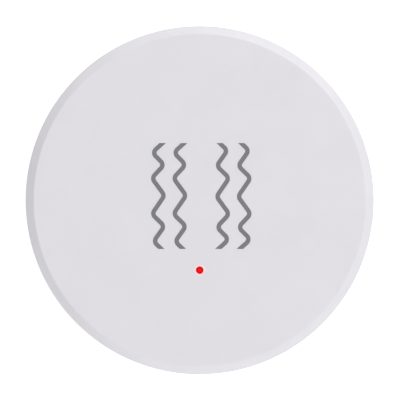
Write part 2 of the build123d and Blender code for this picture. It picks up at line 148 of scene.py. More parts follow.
class TagSizes(bpy.types.PropertyGroup):
    """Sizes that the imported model's boxes don't give."""
    cap_wall: length("Cap Wall", 0.0014, "Thickness of the cap's side wall")
    cap_top: length("Cap Top", 0.0014, "Thickness of the cap's top")
    cap_chamfer: length("Cap Chamfer", 0.001, "Width of the flat chamfer round the face")
    chamfer_rounding: length("Chamfer Rounding", 0.00028, "Rounding where the chamfer meets the face")
    parting_rounding: length("Parting Rounding", 0.00015, "Rounding of the edges at the parting line")
    base_chamfer: length("Base Chamfer", 0.0005, "Chamfer round the base's lower edge")
    floor_thickness: length("Floor Thickness", 0.0014, "Thickness of the base's floor")
    rim_inner_radius: length("Rim Inner Radius", 0.0162, "Inside radius of the base's rim")
    rim_outer_radius: length("Rim Outer Radius", 0.0174, "Outside radius of the base's rim")
    lug_depth: length("Lug Depth", 0.0008, "How far the thread lugs stand out")
    lug_thickness: length("Lug Thickness", 0.0009, "Height of a thread lug's section")
    lug_clearance: length("Lug Clearance", 0.00015, "Gap between a base lug and a cap lug")
    base_lug_height: length("Base Lug Height", 0.0024, "Height of a base lug's low end over the floor")
    stop_height: length("Stop Height", 0.0028, "Height of the block that stops the cap")
    sleeve_length: length("Sleeve Length", 0.0012, "Length of the sleeve round the light pipe")
    sleeve_wall: length("Sleeve Wall", 0.00075, "Wall of the sleeve round the light pipe")
    pipe_gap: length("Pipe Gap", 0.00003, "Gap between the light pipe and the cap")
    boss_radius: length("Boss Radius", 0.0017, "Radius of a screw boss")
    boss_height: length("Boss Height", 0.001, "Height of a screw boss")
    screw_radius: length("Screw Radius", 0.0008, "Radius of a board screw's thread")
    key_width: length("Key Width", 0.0016, "Width of the rib that locates the board")
    key_depth: length("Key Depth", 0.001, "Depth of the rib that locates the board")
    wave_line_width: length("Wave Line Width", 0.0005, "Width of a printed line")
    wave_height: length("Wave Height", 0.0121, "Height of a printed line")
    wave_half_width: length("Wave Half Width", 0.00072, "How far a printed line sways from its middle")
    wave_rounding: length("Wave Rounding", 0.00055, "Rounding of a printed line's bends")
    wave_depth: length("Wave Depth", 0.0001, "Depth of the print's groove")
    print_gap: length("Print Gap", 0.00001, "Gap between the print and its groove")
    print_sink: length("Print Sink", 0.000004, "How far the print lies below the face")
    strip_thickness: length("Strip Thickness", 0.00015, "Thickness of the contacts' spring strip")
    strip_bend: length("Strip Bend", 0.0003, "Bend radius of the contacts' spring strip")


class TagAngles(bpy.types.PropertyGroup):
    """Angles round the tag's axis, in degrees, and counts."""
    lug_count: IntProperty(name="Lug Count", default=3,
                           description="Thread starts on the base and in the cap")
    first_lug: number("First Lug", 200, "Where the first lug starts")
    lug_span: number("Lug Span", 30, "Angle that a lug takes up")
    stop_span: number("Stop Span", 3, "Angle that the stop takes up")
    stop_gap: number("Stop Gap", 0.5, "Angle between the stop and the lug")
    key: number("Key", 150, "Where the board's key is")
    holder_notch: number("Holder Notch", 235, "Where the holder is open for a finger")


class TagColours(bpy.types.PropertyGroup):
    """Colours of the finishes, as linear values."""
    shell: colour("Shell", (0.757, 0.743, 0.783), "Moulded cap and base")
    ink: colour("Ink", (0.178, 0.175, 0.19), "Printed lines")
    lamp: colour("Lamp", (1.0, 0.008, 0.008), "Lit indicator")
    foam_tape: colour("Foam Tape", (0.40, 0.40, 0.42), "Adhesive foam pad")
    seal: colour("Seal", (0.62, 0.64, 0.66), "Silicone seal ring")
    cushion: colour("Cushion", (0.05, 0.05, 0.055), "Foam under the cap's ceiling")
    mask: colour("Solder Mask", (0.012, 0.13, 0.06), "Solder mask on the board")
    laminate: colour("Laminate", (0.42, 0.36, 0.16), "Cut edge of the board")
    silkscreen: colour("Silkscreen", (0.8, 0.8, 0.78), "Outlines printed on the board")
    gold: colour("Gold", (0.83, 0.62, 0.28), "Gold plated copper")
    tin: colour("Tin", (0.68, 0.68, 0.67), "Solder and tinned ends")
    nylon: colour("Nylon", (0.022, 0.022, 0.024), "Black moulded nylon")
    spring: colour("Spring Strip", (0.44, 0.43, 0.405), "Nickel plated spring strip")
    cell: colour("Cell", (0.43, 0.43, 0.44), "Nickel plated cell")
    cell_seal: colour("Cell Seal", (0.3, 0.3, 0.31), "Sealing ring of the cell")
    screw: colour("Screw", (0.5, 0.5, 0.51), "Zinc plated screws")
    lamp_body: colour("Lamp Body", (0.82, 0.82, 0.79), "White package of the lamp")
    lamp_glass: colour("Lamp Glass", (0.45, 0.03, 0.02), "Cast window of the lamp")
    # Painted shade on the floor of the cell's plus sign recess
    painted_plus_shade: colour("Painted Plus Shade", (0.16, 0.16, 0.165), "Plus sign etched into the cell")
    button: colour("Button", (0.74, 0.73, 0.69), "Plunger of the setting button")
    chip: colour("Chip", (0.026, 0.026, 0.028), "Moulding compound of the chips")
    tray: colour("Crystal Tray", (0.5, 0.42, 0.3), "Ceramic trays of the crystals")
    lid: colour("Crystal Lid", (0.52, 0.5, 0.44), "Metal lids of the crystals")
    antenna: colour("Antenna", (0.74, 0.78, 0.8), "Ceramic antenna")
    bulk: colour("Bulk Capacitor", (0.72, 0.40, 0.05), "Moulded case of the bulk capacitor")
    stripe: colour("Stripe", (0.16, 0.07, 0.02), "Polarity stripe of the bulk capacitor")
    capacitor: colour("Capacitor", (0.40, 0.28, 0.18), "Bodies of the small capacitors")
    resistor: colour("Resistor", (0.03, 0.03, 0.036), "Bodies of the small resistors")
    inductor: colour("Inductor", (0.27, 0.31, 0.35), "Bodies of the small inductors")
    floor: colour("Floor", (0.9, 0.9, 0.9), "Floor that the tag lies on")


class TagLights(bpy.types.PropertyGroup):
    """Strengths of the studio."""
    sky: number("Sky", 0.338, "Strength of the even light from all round")
    overhead: number("Overhead", 1.71, "Power of the softbox overhead, in watts")
    right: number("Right", 0.18, "Power of the softbox on the right, in watts")
    top: number("Top", 0.254, "Power of the softbox beyond the top edge, in watts")
    bottom: number("Bottom", 0.317, "Power of the softbox before the bottom edge, in watts")
    # The tip's glow and the halo are painted light; the tip's lower glow at its rim is painted shade at the
    # edge of its hole
    tip_core: number("Tip Core", 0.68, "Glow of the lit tip's middle")
    tip_rim: number("Tip Rim", 0.25, "Glow of the lit tip's rim")
    halo: number("Halo", 0.34, "Glow of the cap's plastic round the lit tip")
    lamp: number("Lamp", 0.5, "Glow of the lamp's window")
    lens: number("Lens", 200, "Focal length of the camera, in millimetres")


def sizes():
    """Sizes as the sidebar has them."""
    return bpy.context.scene.tag_sizes


def angles():
    """Angles and counts as the sidebar has them."""
    return bpy.context.scene.tag_angles


def colours():
    """Colours as the sidebar has them."""
    return bpy.context.scene.tag_colours


def lights():
    """Strengths as the sidebar has them."""
    return bpy.context.scene.tag_lights


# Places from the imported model

def flat_middle(low, high):
    """The middle between two corners, at height zero."""
    return Vector(((low.x + high.x) / 2, (low.y + high.y) / 2, 0))


def middle(node):
    """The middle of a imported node's box, at height zero."""
    return flat_middle(*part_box(node))


def radius_of(node):
    """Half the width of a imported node's box."""
    low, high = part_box(node)
    return (high.x - low.x) / 2


SolidFrame = namedtuple("SolidFrame", "place length width bottom top")


def node_islands(node):
    """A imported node's separate solids, each as its corners and its long edges."""
    bm = bmesh.new()
    bm.from_mesh(frame["nodes"][node].data)
    bmesh.ops.remove_doubles(bm, verts=bm.verts[:], dist=MERGE_DISTANCE)
    bmesh.ops.dissolve_limit(bm, angle_limit=math.radians(PLANE_ANGLE), verts=bm.verts[:],
                              edges=bm.edges[:])
    waiting = set(bm.verts)
    islands = []
    while waiting:
        border = [waiting.pop()]
        corners, edges = [], set()
        while border:
            vertex = border.pop()
            corners.append(vertex.co.copy())
            edges.update(vertex.link_edges)
            for edge in vertex.link_edges:
                other = edge.other_vert(vertex)
                if other in waiting:
                    waiting.remove(other)
                    border.append(other)
        islands.append((corners, [edge.verts[1].co - edge.verts[0].co for edge in edges]))
    bm.free()
    return islands


def reach_of(corners):
    """The low and high corner of the box round some corners."""
    low = Vector(min(corner[axis] for corner in corners) for axis in range(3))
    high = Vector(max(corner[axis] for corner in corners) for axis in range(3))
    return low, high


def node_solids(node):
    """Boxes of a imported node's separate solids, from left to right."""
    return sorted((reach_of(corners) for corners, _ in node_islands(node)), key=lambda box: tuple(box[0]))


def node_frames(node):
    """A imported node's solids as upright frames whose X axis runs along the longer side."""
    found = []
    for corners, edges in node_islands(node):
        level = [edge for edge in edges if abs(edge.z) < MERGE_DISTANCE]
        longest = max(edge.length for edge in level)
        turn = min(round(math.degrees(math.atan2(edge.y, edge.x)) % 180, 2) % 180
                   for edge in level if edge.length > LONG_EDGE_SHARE * longest)
        back = Matrix.Rotation(-math.radians(turn), 4, "Z")
        low, high = reach_of([back @ corner for corner in corners])
        centre = (low + high) / 2
        place = back.inverted() @ Matrix.Translation((centre.x, centre.y, 0))
        found.append(SolidFrame(place, high.x - low.x, high.y - low.y, low.z, high.z))
    return sorted(found, key=lambda solid: tuple(solid.place.translation))


# Shapes made with bmesh operators

def turn_offset(before, corner, after, rounding):
    """How far from a corner a rounding of that radius starts."""
    turn = (corner - before).angle(after - corner)
    return rounding * math.tan(turn / 2)


def rounded_path(bm, corners, closed=False, segments=ROUND_SEGMENTS):
    """A wire through corners, each a point and a rounding."""
    points, roundings = zip(*corners)
    vertices = [bm.verts.new(point) for point in points]
    count = len(vertices)
    for index in range(count if closed else count - 1):
        bm.edges.new((vertices[index], vertices[(index + 1) % count]))
    inner = range(count) if closed else range(1, count - 1)
    offsets = {index: turn_offset(points[index - 1], points[index], points[(index + 1) % count],
                                  roundings[index]) for index in inner if roundings[index] > 0}
    for index, offset in offsets.items():
        bmesh.ops.bevel(bm, geom=[vertices[index]], offset=offset, offset_type="OFFSET", affect="VERTICES",
                        segments=segments, profile=ROUND_PROFILE, material=-1)


def add_turned(bm, corners, centre=Vector((0, 0, 0)), steps=TURN_STEPS):
    """Turn an outline of (radius, height, rounding) corners about an upright axis through centre."""
    outline = bmesh.new()
    closed = corners[0][0] > 0
    path = [(Vector((radius, 0, height)), rounding) for radius, height, rounding in corners]
    rounded_path(outline, path, closed)
    bmesh.ops.spin(outline, geom=outline.verts[:] + outline.edges[:], cent=(0, 0, 0), axis=(0, 0, 1),
                   dvec=(0, 0, 0), angle=FULL_TURN, steps=steps, use_merge=True, use_duplicate=False)
    bmesh.ops.remove_doubles(outline, verts=outline.verts[:], dist=MERGE_DISTANCE)
    bmesh.ops.recalc_face_normals(outline, faces=outline.faces[:])
    bmesh.ops.translate(outline, verts=outline.verts[:], vec=centre)
    append(bm, outline)


def append(bm, part):
    """Move the geometry of one bmesh into another."""
    mesh = bpy.data.meshes.new("part")
    part.to_mesh(mesh)
    part.free()
    bm.from_mesh(mesh)
    bpy.data.meshes.remove(mesh)


def add_disc(bm, centre, radius, bottom, top, rounding=0.0, steps=SMALL_TURN_STEPS):
    """A round disc between two heights."""
    add_turned(bm, [(0, bottom, 0), (radius, bottom, rounding), (radius, top, rounding), (0, top, 0)],
               Vector((centre.x, centre.y, 0)), steps)


def add_ring(bm, centre, inner, outer, bottom, top, steps):
    """A flat ring between two heights."""
    add_turned(bm, [(inner, bottom, 0), (outer, bottom, 0), (outer, top, 0), (inner, top, 0)],
               Vector((centre.x, centre.y, 0)), steps)


def add_block(bm, low, high, edge=0.0, place=Matrix.Identity(4)):
    """A box from its low to its high corner, with its edges rounded."""
    part = bmesh.new()
    low, high = Vector(low), Vector(high)
    spread = Matrix.Diagonal((*(high - low), 1))
    bmesh.ops.create_cube(part, size=1, matrix=place @ Matrix.Translation((low + high) / 2) @ spread)
    if edge > 0:
        bmesh.ops.bevel(part, geom=part.edges[:], offset=edge, offset_type="OFFSET", affect="EDGES",
                        segments=EDGE_SEGMENTS, profile=ROUND_PROFILE, material=-1)
    append(bm, part)


def add_filled(bm, part, edge, ends=0.0, sides=0.0):
    """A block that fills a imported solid's frame, drawn in at its ends and sides."""
    half_length, half_width = part.length / 2 - ends, part.width / 2 - sides
    add_block(bm, (-half_length, -half_width, part.bottom), (half_length, half_width, part.top), edge,
              part.place)


def add_end_blocks(bm, part, near, far, width, edge):
    """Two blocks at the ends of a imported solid's frame, between two distances from its middle."""
    for side in (-1, 1):
        ends = sorted((side * near, side * far))
        add_block(bm, (ends[0], -width / 2, part.bottom), (ends[1], width / 2, part.top), edge, part.place)


def add_lug(bm, root_radius, tip_radius, start_angle, start_height):
    """One thread lug: a section that is swept round the axis while it climbs."""
    part = bmesh.new()
    half = sizes().lug_thickness / 2
    near, far = sorted((root_radius, tip_radius))
    section = [(near, -half), (far, -half), (far, half), (near, half)]
    corners = [part.verts.new((radius, 0, start_height + height)) for radius, height in section]
    face = part.faces.new(corners)
    steps = int(angles().lug_span)
    bmesh.ops.spin(part, geom=[face] + face.edges[:] + face.verts[:], cent=(0, 0, 0), axis=(0, 0, 1),
                   dvec=(0, 0, lug_rise() / steps), angle=math.radians(angles().lug_span), steps=steps,
                   use_merge=False, use_duplicate=False)
    bmesh.ops.recalc_face_normals(part, faces=part.faces[:])
    bmesh.ops.rotate(part, verts=part.verts[:], cent=(0, 0, 0),
                     matrix=Matrix.Rotation(math.radians(start_angle), 3, "Z"))
    append(bm, part)


def thread_lead():
    """How far the cap climbs in one whole turn."""
    joints = {joint["name"]: joint for joint in frame["joints"]}
    climb = joints["cap_lift"]["range_m"][1]
    return climb * 360 / joints["cap_twist"]["range_deg"][1]


def lug_rise():
    """How far a lug climbs from its start to its end."""
    return thread_lead() * angles().lug_span / 360


def lug_angles():
    """Where the lugs start, in degrees."""
    count = angles().lug_count
    return [angles().first_lug + index * 360 / count for index in range(count)]


def base_lug_start():
    """Height at which the base's lugs start."""
    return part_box("base")[0].z + sizes().floor_thickness + sizes().base_lug_height


def spoke(angle, radius):
    """A place on a circle about the axis, with its X axis pointing outwards."""
    return Matrix.Rotation(math.radians(angle), 4, "Z") @ Matrix.Translation((radius, 0, 0))


# Objects

def solid_object(name, bm):
    """Make an object from a bmesh, with its doubles merged."""
    bmesh.ops.remove_doubles(bm, verts=bm.verts[:], dist=MERGE_DISTANCE)
    mesh = bpy.data.meshes.new(name)
    bm.to_mesh(mesh)
    bm.free()
    piece = bpy.data.objects.new(name, mesh)
    bpy.context.scene.collection.objects.link(piece)
    return piece


def shaped(name, add, *values, **settings):
    """An object made by one call of a function that adds geometry."""
    bm = bmesh.new()
    add(bm, *values, **settings)
    return solid_object(name, bm)


def sheet(name, bm, reach, thickness, place=Matrix.Identity(4)):
    """Draw a wire out into a sheet of even thickness, and make it an object at a place."""
    drawn = bmesh.ops.extrude_edge_only(bm, edges=bm.edges[:])
    far = [item for item in drawn["geom"] if isinstance(item, bmesh.types.BMVert)]
    bmesh.ops.translate(bm, verts=far, vec=reach)
    bmesh.ops.transform(bm, matrix=place, verts=bm.verts[:])
    bmesh.ops.recalc_face_normals(bm, faces=bm.faces[:])
    piece = solid_object(name, bm)
    solidify = piece.modifiers.new("Thickness", "SOLIDIFY")
    solidify.thickness = thickness
    solidify.offset = 0
    solidify.use_even_offset = True
    bake_modifiers(piece)
    return piece


def bake_modifiers(piece):
    """Put the result of a piece's modifiers into its mesh."""
    depsgraph = bpy.context.evaluated_depsgraph_get()
    depsgraph.update()
    mesh = bpy.data.meshes.new_from_object(piece.evaluated_get(depsgraph))
    mesh.name = piece.name
    piece.modifiers.clear()
    piece.data = mesh


def combine(piece, tools, operation):
    """Join tools to a piece (UNION) or cut them out of it (DIFFERENCE), and remove them."""
    for tool in tools:
        modifier = piece.modifiers.new(operation.title(), "BOOLEAN")
        modifier.operation = operation
        modifier.solver = "EXACT"
        modifier.object = tool
    bake_modifiers(piece)
    for tool in tools:
        bpy.data.objects.remove(tool)
    weld(piece)
    if not piece.data.polygons:
        raise RuntimeError(f"{piece.name} has no faces left after {operation}")


def weld(piece):
    """Merge the corners that a Boolean leaves doubled, and drop faces that have no area."""
    bm = bmesh.new()
    bm.from_mesh(piece.data)
    bmesh.ops.remove_doubles(bm, verts=bm.verts[:], dist=MERGE_DISTANCE)
    bmesh.ops.dissolve_degenerate(bm, dist=MERGE_DISTANCE, edges=bm.edges[:])
    bm.to_mesh(piece.data)
    bm.free()


def dress(piece, material, body, slot, *nodes):
    """Give a finished piece its material and shading and its body, and hide the imported nodes that it stands
    for. The slot is not used.
    """
    mesh = piece.data
    mesh.materials.clear()
    mesh.materials.append(material)
    mesh.shade_smooth()
    mesh.set_sharp_from_angle(angle=math.radians(SHARP_ANGLE))
    weighted = piece.modifiers.new("Weighted Normal", "WEIGHTED_NORMAL")
    weighted.keep_sharp = True
    weighted.weight = FLAT_FACE_WEIGHT
    bake_modifiers(piece)
    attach(piece, body)
    if nodes:
        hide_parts(*nodes)
    return piece


def paint(piece, material, chosen):
    """Give another material to the faces that a test chooses."""
    piece.data.materials.append(material)
    for face in piece.data.polygons:
        if chosen(face):
            face.material_index = len(piece.data.materials) - 1


# Materials

def shader_of(material):
    """The node that all of a material's textures lead to."""
    return material.node_tree.nodes["Principled BSDF"]


def fill(owner, socket, value):
    """Set an input, or link it where the value is the output of another node."""
    if isinstance(value, bpy.types.NodeSocket):
        owner.node_tree.links.new(value, socket)
    else:
        socket.default_value = value


def set_inputs(material, **sockets):
    """Set inputs of a material's shader, or link them to outputs of other nodes."""
    for name, value in sockets.items():
        fill(material, shader_of(material).inputs[name.replace("_", " ")], value)


def start_material(name, base_colour, roughness, metallic=0.0, **sockets):
    """A material of one even colour and roughness."""
    material = bpy.data.materials.new(name)
    material.use_nodes = True
    set_inputs(material, Base_Color=(*base_colour, 1), Roughness=roughness, Metallic=metallic, **sockets)
    return material


def add_node(owner, kind, settings=None, values=(), **sockets):
    """Add a shader node. Settings are its attributes, and its inputs are filled in order or by name."""
    node = owner.node_tree.nodes.new(kind)
    for name, value in (settings or {}).items():
        setattr(node, name, value)
    for index, value in enumerate(values):
        fill(owner, node.inputs[index], value)
    for name, value in sockets.items():
        fill(owner, node.inputs[name.replace("_", " ")], value)
    return node


def object_coordinates(material, centre=None):
    """The piece's own coordinates, counted from a centre if one is given."""
    source = add_node(material, "ShaderNodeTexCoord").outputs["Object"]
    if centre is None:
        return source
    return add_node(material, "ShaderNodeVectorMath", {"operation": "SUBTRACT"}, (source, centre)).outputs[0]


def noise(material, size, detail, coordinates=None):
    """Soft random values that change over about a size."""
    texture = add_node(material, "ShaderNodeTexNoise", Scale=1 / size, Detail=detail,
                       Vector=coordinates or object_coordinates(material))
    return texture.outputs["Fac"]


def mottle(material, spread, size):
    """Vary the base colour a little in soft patches of a size."""
    base = Vector(shader_of(material).inputs["Base Color"].default_value[:3])
    ramp = add_node(material, "ShaderNodeValToRGB", Fac=noise(material, size, FINE_DETAIL))
    for stop, place, tone in zip(ramp.color_ramp.elements, MOTTLE_STOPS, (1 - spread, 1 + spread)):
        stop.position = place
        stop.color = (*[min(1, channel * tone) for channel in base], 1)
    set_inputs(material, Base_Color=ramp.outputs["Color"])


def vary_roughness(material, low, high, size):
    """Vary the roughness between two values in soft patches of a size."""
    spread = add_node(material, "ShaderNodeMapRange", Value=noise(material, size, SOFT_DETAIL), To_Min=low,
                      To_Max=high)
    set_inputs(material, Roughness=spread.outputs["Result"])


def add_bump(material, height, depth):
    """Add a bump on top of the ones that the material has."""
    normal = shader_of(material).inputs["Normal"]
    bump = add_node(material, "ShaderNodeBump", Height=height, Distance=depth, Strength=1.0)
    if normal.is_linked:
        fill(material, bump.inputs["Normal"], normal.links[0].from_socket)
    fill(material, normal, bump.outputs["Normal"])


def grain(material, size, depth, coordinates=None):
    """A fine random relief, as on a moulding or a casting."""
    add_bump(material, noise(material, size, SOFT_DETAIL, coordinates), depth)


def cells(material, size, depth):
    """A relief of small round cells, as in foam."""
    voronoi = add_node(material, "ShaderNodeTexVoronoi", Scale=1 / size, Vector=object_coordinates(material))
    add_bump(material, voronoi.outputs["Distance"], depth)


def turned_lines(material, centre, pitch, depth):
    """Fine rings about an upright axis, as on turned or spun metal."""
    flat = add_node(material, "ShaderNodeVectorMath", {"operation": "MULTIPLY"},
                    (object_coordinates(material, centre), (1, 1, 0)))
    radius = add_node(material, "ShaderNodeVectorMath", {"operation": "LENGTH"}, (flat.outputs[0],))
    lines = add_node(material, "ShaderNodeTexNoise", {"noise_dimensions": "1D"}, Scale=1 / pitch,
                     Detail=FINE_DETAIL, W=radius.outputs["Value"])
    add_bump(material, lines.outputs["Fac"], depth)


def brushed_lines(material, size, depth, along):
    """Fine straight scratches along one axis."""
    stretched = add_node(material, "ShaderNodeMapping", Scale=along, Vector=object_coordinates(material))
    grain(material, size, depth, stretched.outputs["Vector"])


def fading(material, centre, near, far, near_value, far_value):
    """A value that changes smoothly with the distance from a centre."""
    away = add_node(material, "ShaderNodeVectorMath", {"operation": "LENGTH"},
                    (object_coordinates(material, centre),))
    spread = add_node(material, "ShaderNodeMapRange", {"interpolation_type": "SMOOTHSTEP"},
                      Value=away.outputs["Value"], From_Min=near, From_Max=far, To_Min=near_value,
                      To_Max=far_value)
    return spread.outputs["Result"]


def finished(name, base_colour, roughness, mottled, varied=None, grained=None, foamed=None, **sockets):
    """A material with a mottle (spread, size), and maybe with a varied roughness (low, high, size), a grain
    (size, depth) or a foam's cells (size, depth)."""
    material = start_material(name, base_colour, roughness, **sockets)
    for add, values in ((mottle, mottled), (vary_roughness, varied), (grain, grained), (cells, foamed)):
        if values:
            add(material, *values)
    return material


def moulded(name, base_colour, roughness=0.5, spread=0.012, grain_size=0.00012, grain_depth=0.0000022):
    """Moulded plastic with a fine spark-eroded grain."""
    return finished(name, base_colour, roughness, mottled=(spread, 0.004),
                    varied=(roughness - 0.04, roughness + 0.05, 0.0012), grained=(grain_size, grain_depth),
                    Specular_IOR_Level=0.25)


def plated(name, base_colour, roughness=0.28, line_size=0.00006, line_depth=0.000001, along=ROLLED):
    """Plated sheet metal with fine rolling lines."""
    material = finished(name, base_colour, roughness, mottled=(0.04, 0.0015),
                        varied=(roughness - 0.06, roughness + 0.1, 0.0006), metallic=1.0)
    brushed_lines(material, line_size, line_depth, along)
    return material


def tinned():
    """Bright solder and tinned metal."""
    return (bpy.data.materials.get("tag_tin")
            or plated("tag_tin", colours().tin, roughness=0.36, line_size=0.00015, line_depth=0.000002,
                      along=EVEN))


def ceramic(name, base_colour, roughness=0.35):
    """Fired ceramic with a slight speckle."""
    return finished(name, base_colour, roughness, mottled=(0.06, 0.0002), grained=(0.00005, 0.0000015))


def shell_material():
    """The cap's plastic, with a painted red glow round the lit tip."""
    material = moulded("tag_shell_glowing", colours().shell)
    tip = tip_radius()
    # Painted red glow in the cap's plastic round the lit tip
    glow = fading(material, tip_middle(), GLOW_START * tip, GLOW_END * tip, lights().halo, 0)
    set_inputs(material, Emission_Color=(*colours().lamp, 1), Emission_Strength=glow)
    return material


def tip_middle():
    """The middle of the light pipe's tip, at the face."""
    return (*middle("light_pipe").xy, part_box("light_pipe")[1].z)


def tip_radius():
    """Radius of the light pipe's tip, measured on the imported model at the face."""
    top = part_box("light_pipe")[1].z
    centre = middle("light_pipe")
    return max((vertex.co.xy - centre.xy).length for vertex in frame["nodes"]["light_pipe"].data.vertices
               if vertex.co.z > top - MERGE_DISTANCE)


# Operators, one for each piece or group of like pieces

class SENSORTAG_OT_cap(bpy.types.Operator):
    """Model the twist-off cap, with its chamfer, grooves for the print, thread lugs and light pipe sleeve"""
    bl_idname = "sensor_tag.cap"
    bl_label = "Top Cover"

    def execute(self, context):
        size = sizes()
        low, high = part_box("top_cover")
        radius, top = high.x, high.z
        inner_radius = radius - size.cap_wall
        ceiling = top - size.cap_top
        cap = shaped("top_cover_shell", add_turned, [
            (0, ceiling, 0),
            (inner_radius, ceiling, size.parting_rounding),
            (inner_radius, low.z, size.parting_rounding),
            (radius, low.z, size.parting_rounding),
            (radius, top - size.cap_chamfer, size.parting_rounding),
            (radius - size.cap_chamfer, top, size.chamfer_rounding),
            (0, top, 0),
        ])
        combine(cap, self.inside_features(inner_radius, ceiling), "UNION")
        combine(cap, self.cutters(ceiling, top), "DIFFERENCE")
        dress(cap, shell_material(), "cap", "white_shell", "top_cover")
        return {"FINISHED"}

    def inside_features(self, inner_radius, ceiling):
        """The thread lugs and the sleeve round the light pipe."""
        size = sizes()
        start = base_lug_start() - size.lug_thickness - size.lug_clearance
        lugs = [shaped("cap_lug", add_lug, inner_radius + OVERRUN, inner_radius - size.lug_depth, angle,
                       start)
                for angle in lug_angles()]
        sleeve = shaped("sleeve", add_disc, middle("light_pipe"), self.bore_radius() + size.sleeve_wall,
                        ceiling - size.sleeve_length, ceiling + OVERRUN, steps=SLEEVE_STEPS)
        return lugs + [sleeve]

    def bore_radius(self):
        """Radius of the bore for the light pipe's flange."""
        return radius_of("light_pipe") + sizes().pipe_gap

    def cutters(self, ceiling, top):
        """The light pipe's bore and hole, and the grooves for the print."""
        size = sizes()
        centre = middle("light_pipe")
        bore = shaped("flange_bore", add_disc, centre, self.bore_radius(),
                      ceiling - size.sleeve_length - OVERRUN, ceiling, steps=SLEEVE_STEPS)
        hole = shaped("tip_hole", add_disc, centre, tip_radius() + size.pipe_gap, ceiling - OVERRUN,
                      top + OVERRUN, steps=SLEEVE_STEPS)
        grooves = [wave_object("groove", node, size.wave_line_width + 2 * size.print_gap,
                               top - size.wave_depth, top + OVERRUN, size.print_gap)
                   for node in WAVE_NODES]
        return [bore, hole] + grooves


WAVE_NODES = ("outer_left_wave", "inner_left_wave", "inner_right_wave", "outer_right_wave")
# How many even steps each line lies from the shared middle
WAVE_STEPS = (-2, -1, 1, 2)


def wave_object(name, node, width, bottom, top, gap):
    """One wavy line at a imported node's place, as a band of a width between two heights."""
    size = sizes()
    half_height = size.wave_height / 2
    points = [Vector((size.wave_half_width * sway, half_height * rise, bottom))
              for sway, rise in zip(WAVE_SWAY_SHARES, WAVE_RISE_SHARES)]
    points[0] = points[0] + (points[0] - points[1]) * WAVE_OVERRUN_SHARE
    points[-1] = points[-1] + (points[-1] - points[-2]) * WAVE_OVERRUN_SHARE
    bm = bmesh.new()
    rounded_path(bm, [(point, size.wave_rounding) for point in points], segments=WAVE_SEGMENTS)
    band = sheet(name, bm, (0, 0, top - bottom), width)
    bm = bmesh.new()
    bm.from_mesh(band.data)
    for side in (-1, 1):
        trim_level(bm, side, half_height + gap)
    turned_round = middle(node).x > middle_of_waves().x
    if turned_round:
        bmesh.ops.rotate(bm, verts=bm.verts[:], cent=(0, 0, 0), matrix=Matrix.Rotation(math.pi, 3, "Z"))
    bmesh.ops.translate(bm, verts=bm.verts[:], vec=(wave_column(node), middle_of_waves().y, 0))
    bm.to_mesh(band.data)
    bm.free()
    return band


def middle_of_waves():
    """The shared middle of the four lines, at height zero."""
    return flat_middle(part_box(WAVE_NODES[0])[0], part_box(WAVE_NODES[-1])[1])


def wave_column(node):
    """Where a line's own middle lies, from the shared middle and the lines' even steps."""
    left, right = middle(WAVE_NODES[0]), middle(WAVE_NODES[1])
    step = right.x - left.x
    return middle_of_waves().x + WAVE_STEPS[WAVE_NODES.index(node)] * step


def trim_level(bm, side, distance):
    """Cut a band off level at a distance above or below its middle, and close the cut."""
    cut = bmesh.ops.bisect_plane(bm, geom=bm.verts[:] + bm.edges[:] + bm.faces[:], dist=MERGE_DISTANCE,
                                 plane_co=(0, side * distance, 0), plane_no=(0, side, 0), clear_outer=True)
    rim = [item for item in cut["geom_cut"] if isinstance(item, bmesh.types.BMEdge)]
    bmesh.ops.contextual_create(bm, geom=rim)
    bmesh.ops.recalc_face_normals(bm, faces=bm.faces[:])


class SENSORTAG_OT_waves(bpy.types.Operator):
    """Model the four printed wavy lines, level with the cap's face"""
    bl_idname = "sensor_tag.waves"
    bl_label = "Wave Marks"

    def execute(self, context):
        size = sizes()
        ink = finished("tag_ink", colours().ink, roughness=0.55, mottled=(0.02, 0.0006),
                       grained=(0.00008, 0.0000015))
        for node in WAVE_NODES:
            low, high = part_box(node)
            line = wave_object(node + "_print", node, size.wave_line_width, low.z,
                               high.z - size.print_sink, 0)
            dress(line, ink, "cap", "mark_ink", node)
        return {"FINISHED"}


class SENSORTAG_OT_light_pipe(bpy.types.Operator):
    """Model the light pipe, whose lit tip shows in the face"""
    bl_idname = "sensor_tag.light_pipe"
    bl_label = "Light Pipe"

    stem_radius: length("Stem Radius", 0.0008, "Radius of the stem over the lamp")
    flange_height: length("Flange Height", 0.0006, "Height of the flange under the ceiling")
    edge: length("Edge", 0.00004, "Rounding of the tip's edge")
    tip_colour: colour("Tip Colour", (0.35, 0.004, 0.004), "Body of the lit plastic")

    def execute(self, context):
        low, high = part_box("light_pipe")
        ceiling = high.z - sizes().cap_top
        flange_radius = radius_of("light_pipe")
        pipe = shaped("light_pipe_lit", add_turned, [
            (0, low.z, 0),
            (self.stem_radius, low.z, self.edge),
            (self.stem_radius, ceiling - self.flange_height, 0),
            (flange_radius, ceiling - self.flange_height, self.edge),
            (flange_radius, ceiling, self.edge),
            (tip_radius(), ceiling, 0),
            (tip_radius(), high.z, self.edge),
            (0, high.z, 0),
        ], middle("light_pipe"), SMALL_TURN_STEPS)
        lit = finished("tag_lit_tip", self.tip_colour, roughness=0.5, mottled=(0.08, 0.0003),
                       Specular_IOR_Level=0.0)
        tip = tip_radius()
        # Painted glow for the lamp's light carried up the pipe, lower at the rim as painted shade at the edge
        # of the hole
        glow = fading(lit, tip_middle(), RIM_START * tip, RIM_END * tip, lights().tip_core, lights().tip_rim)
        set_inputs(lit, Emission_Color=(*colours().lamp, 1), Emission_Strength=glow)
        dress(pipe, lit, "cap", "indicator_red", "light_pipe")
        return {"FINISHED"}


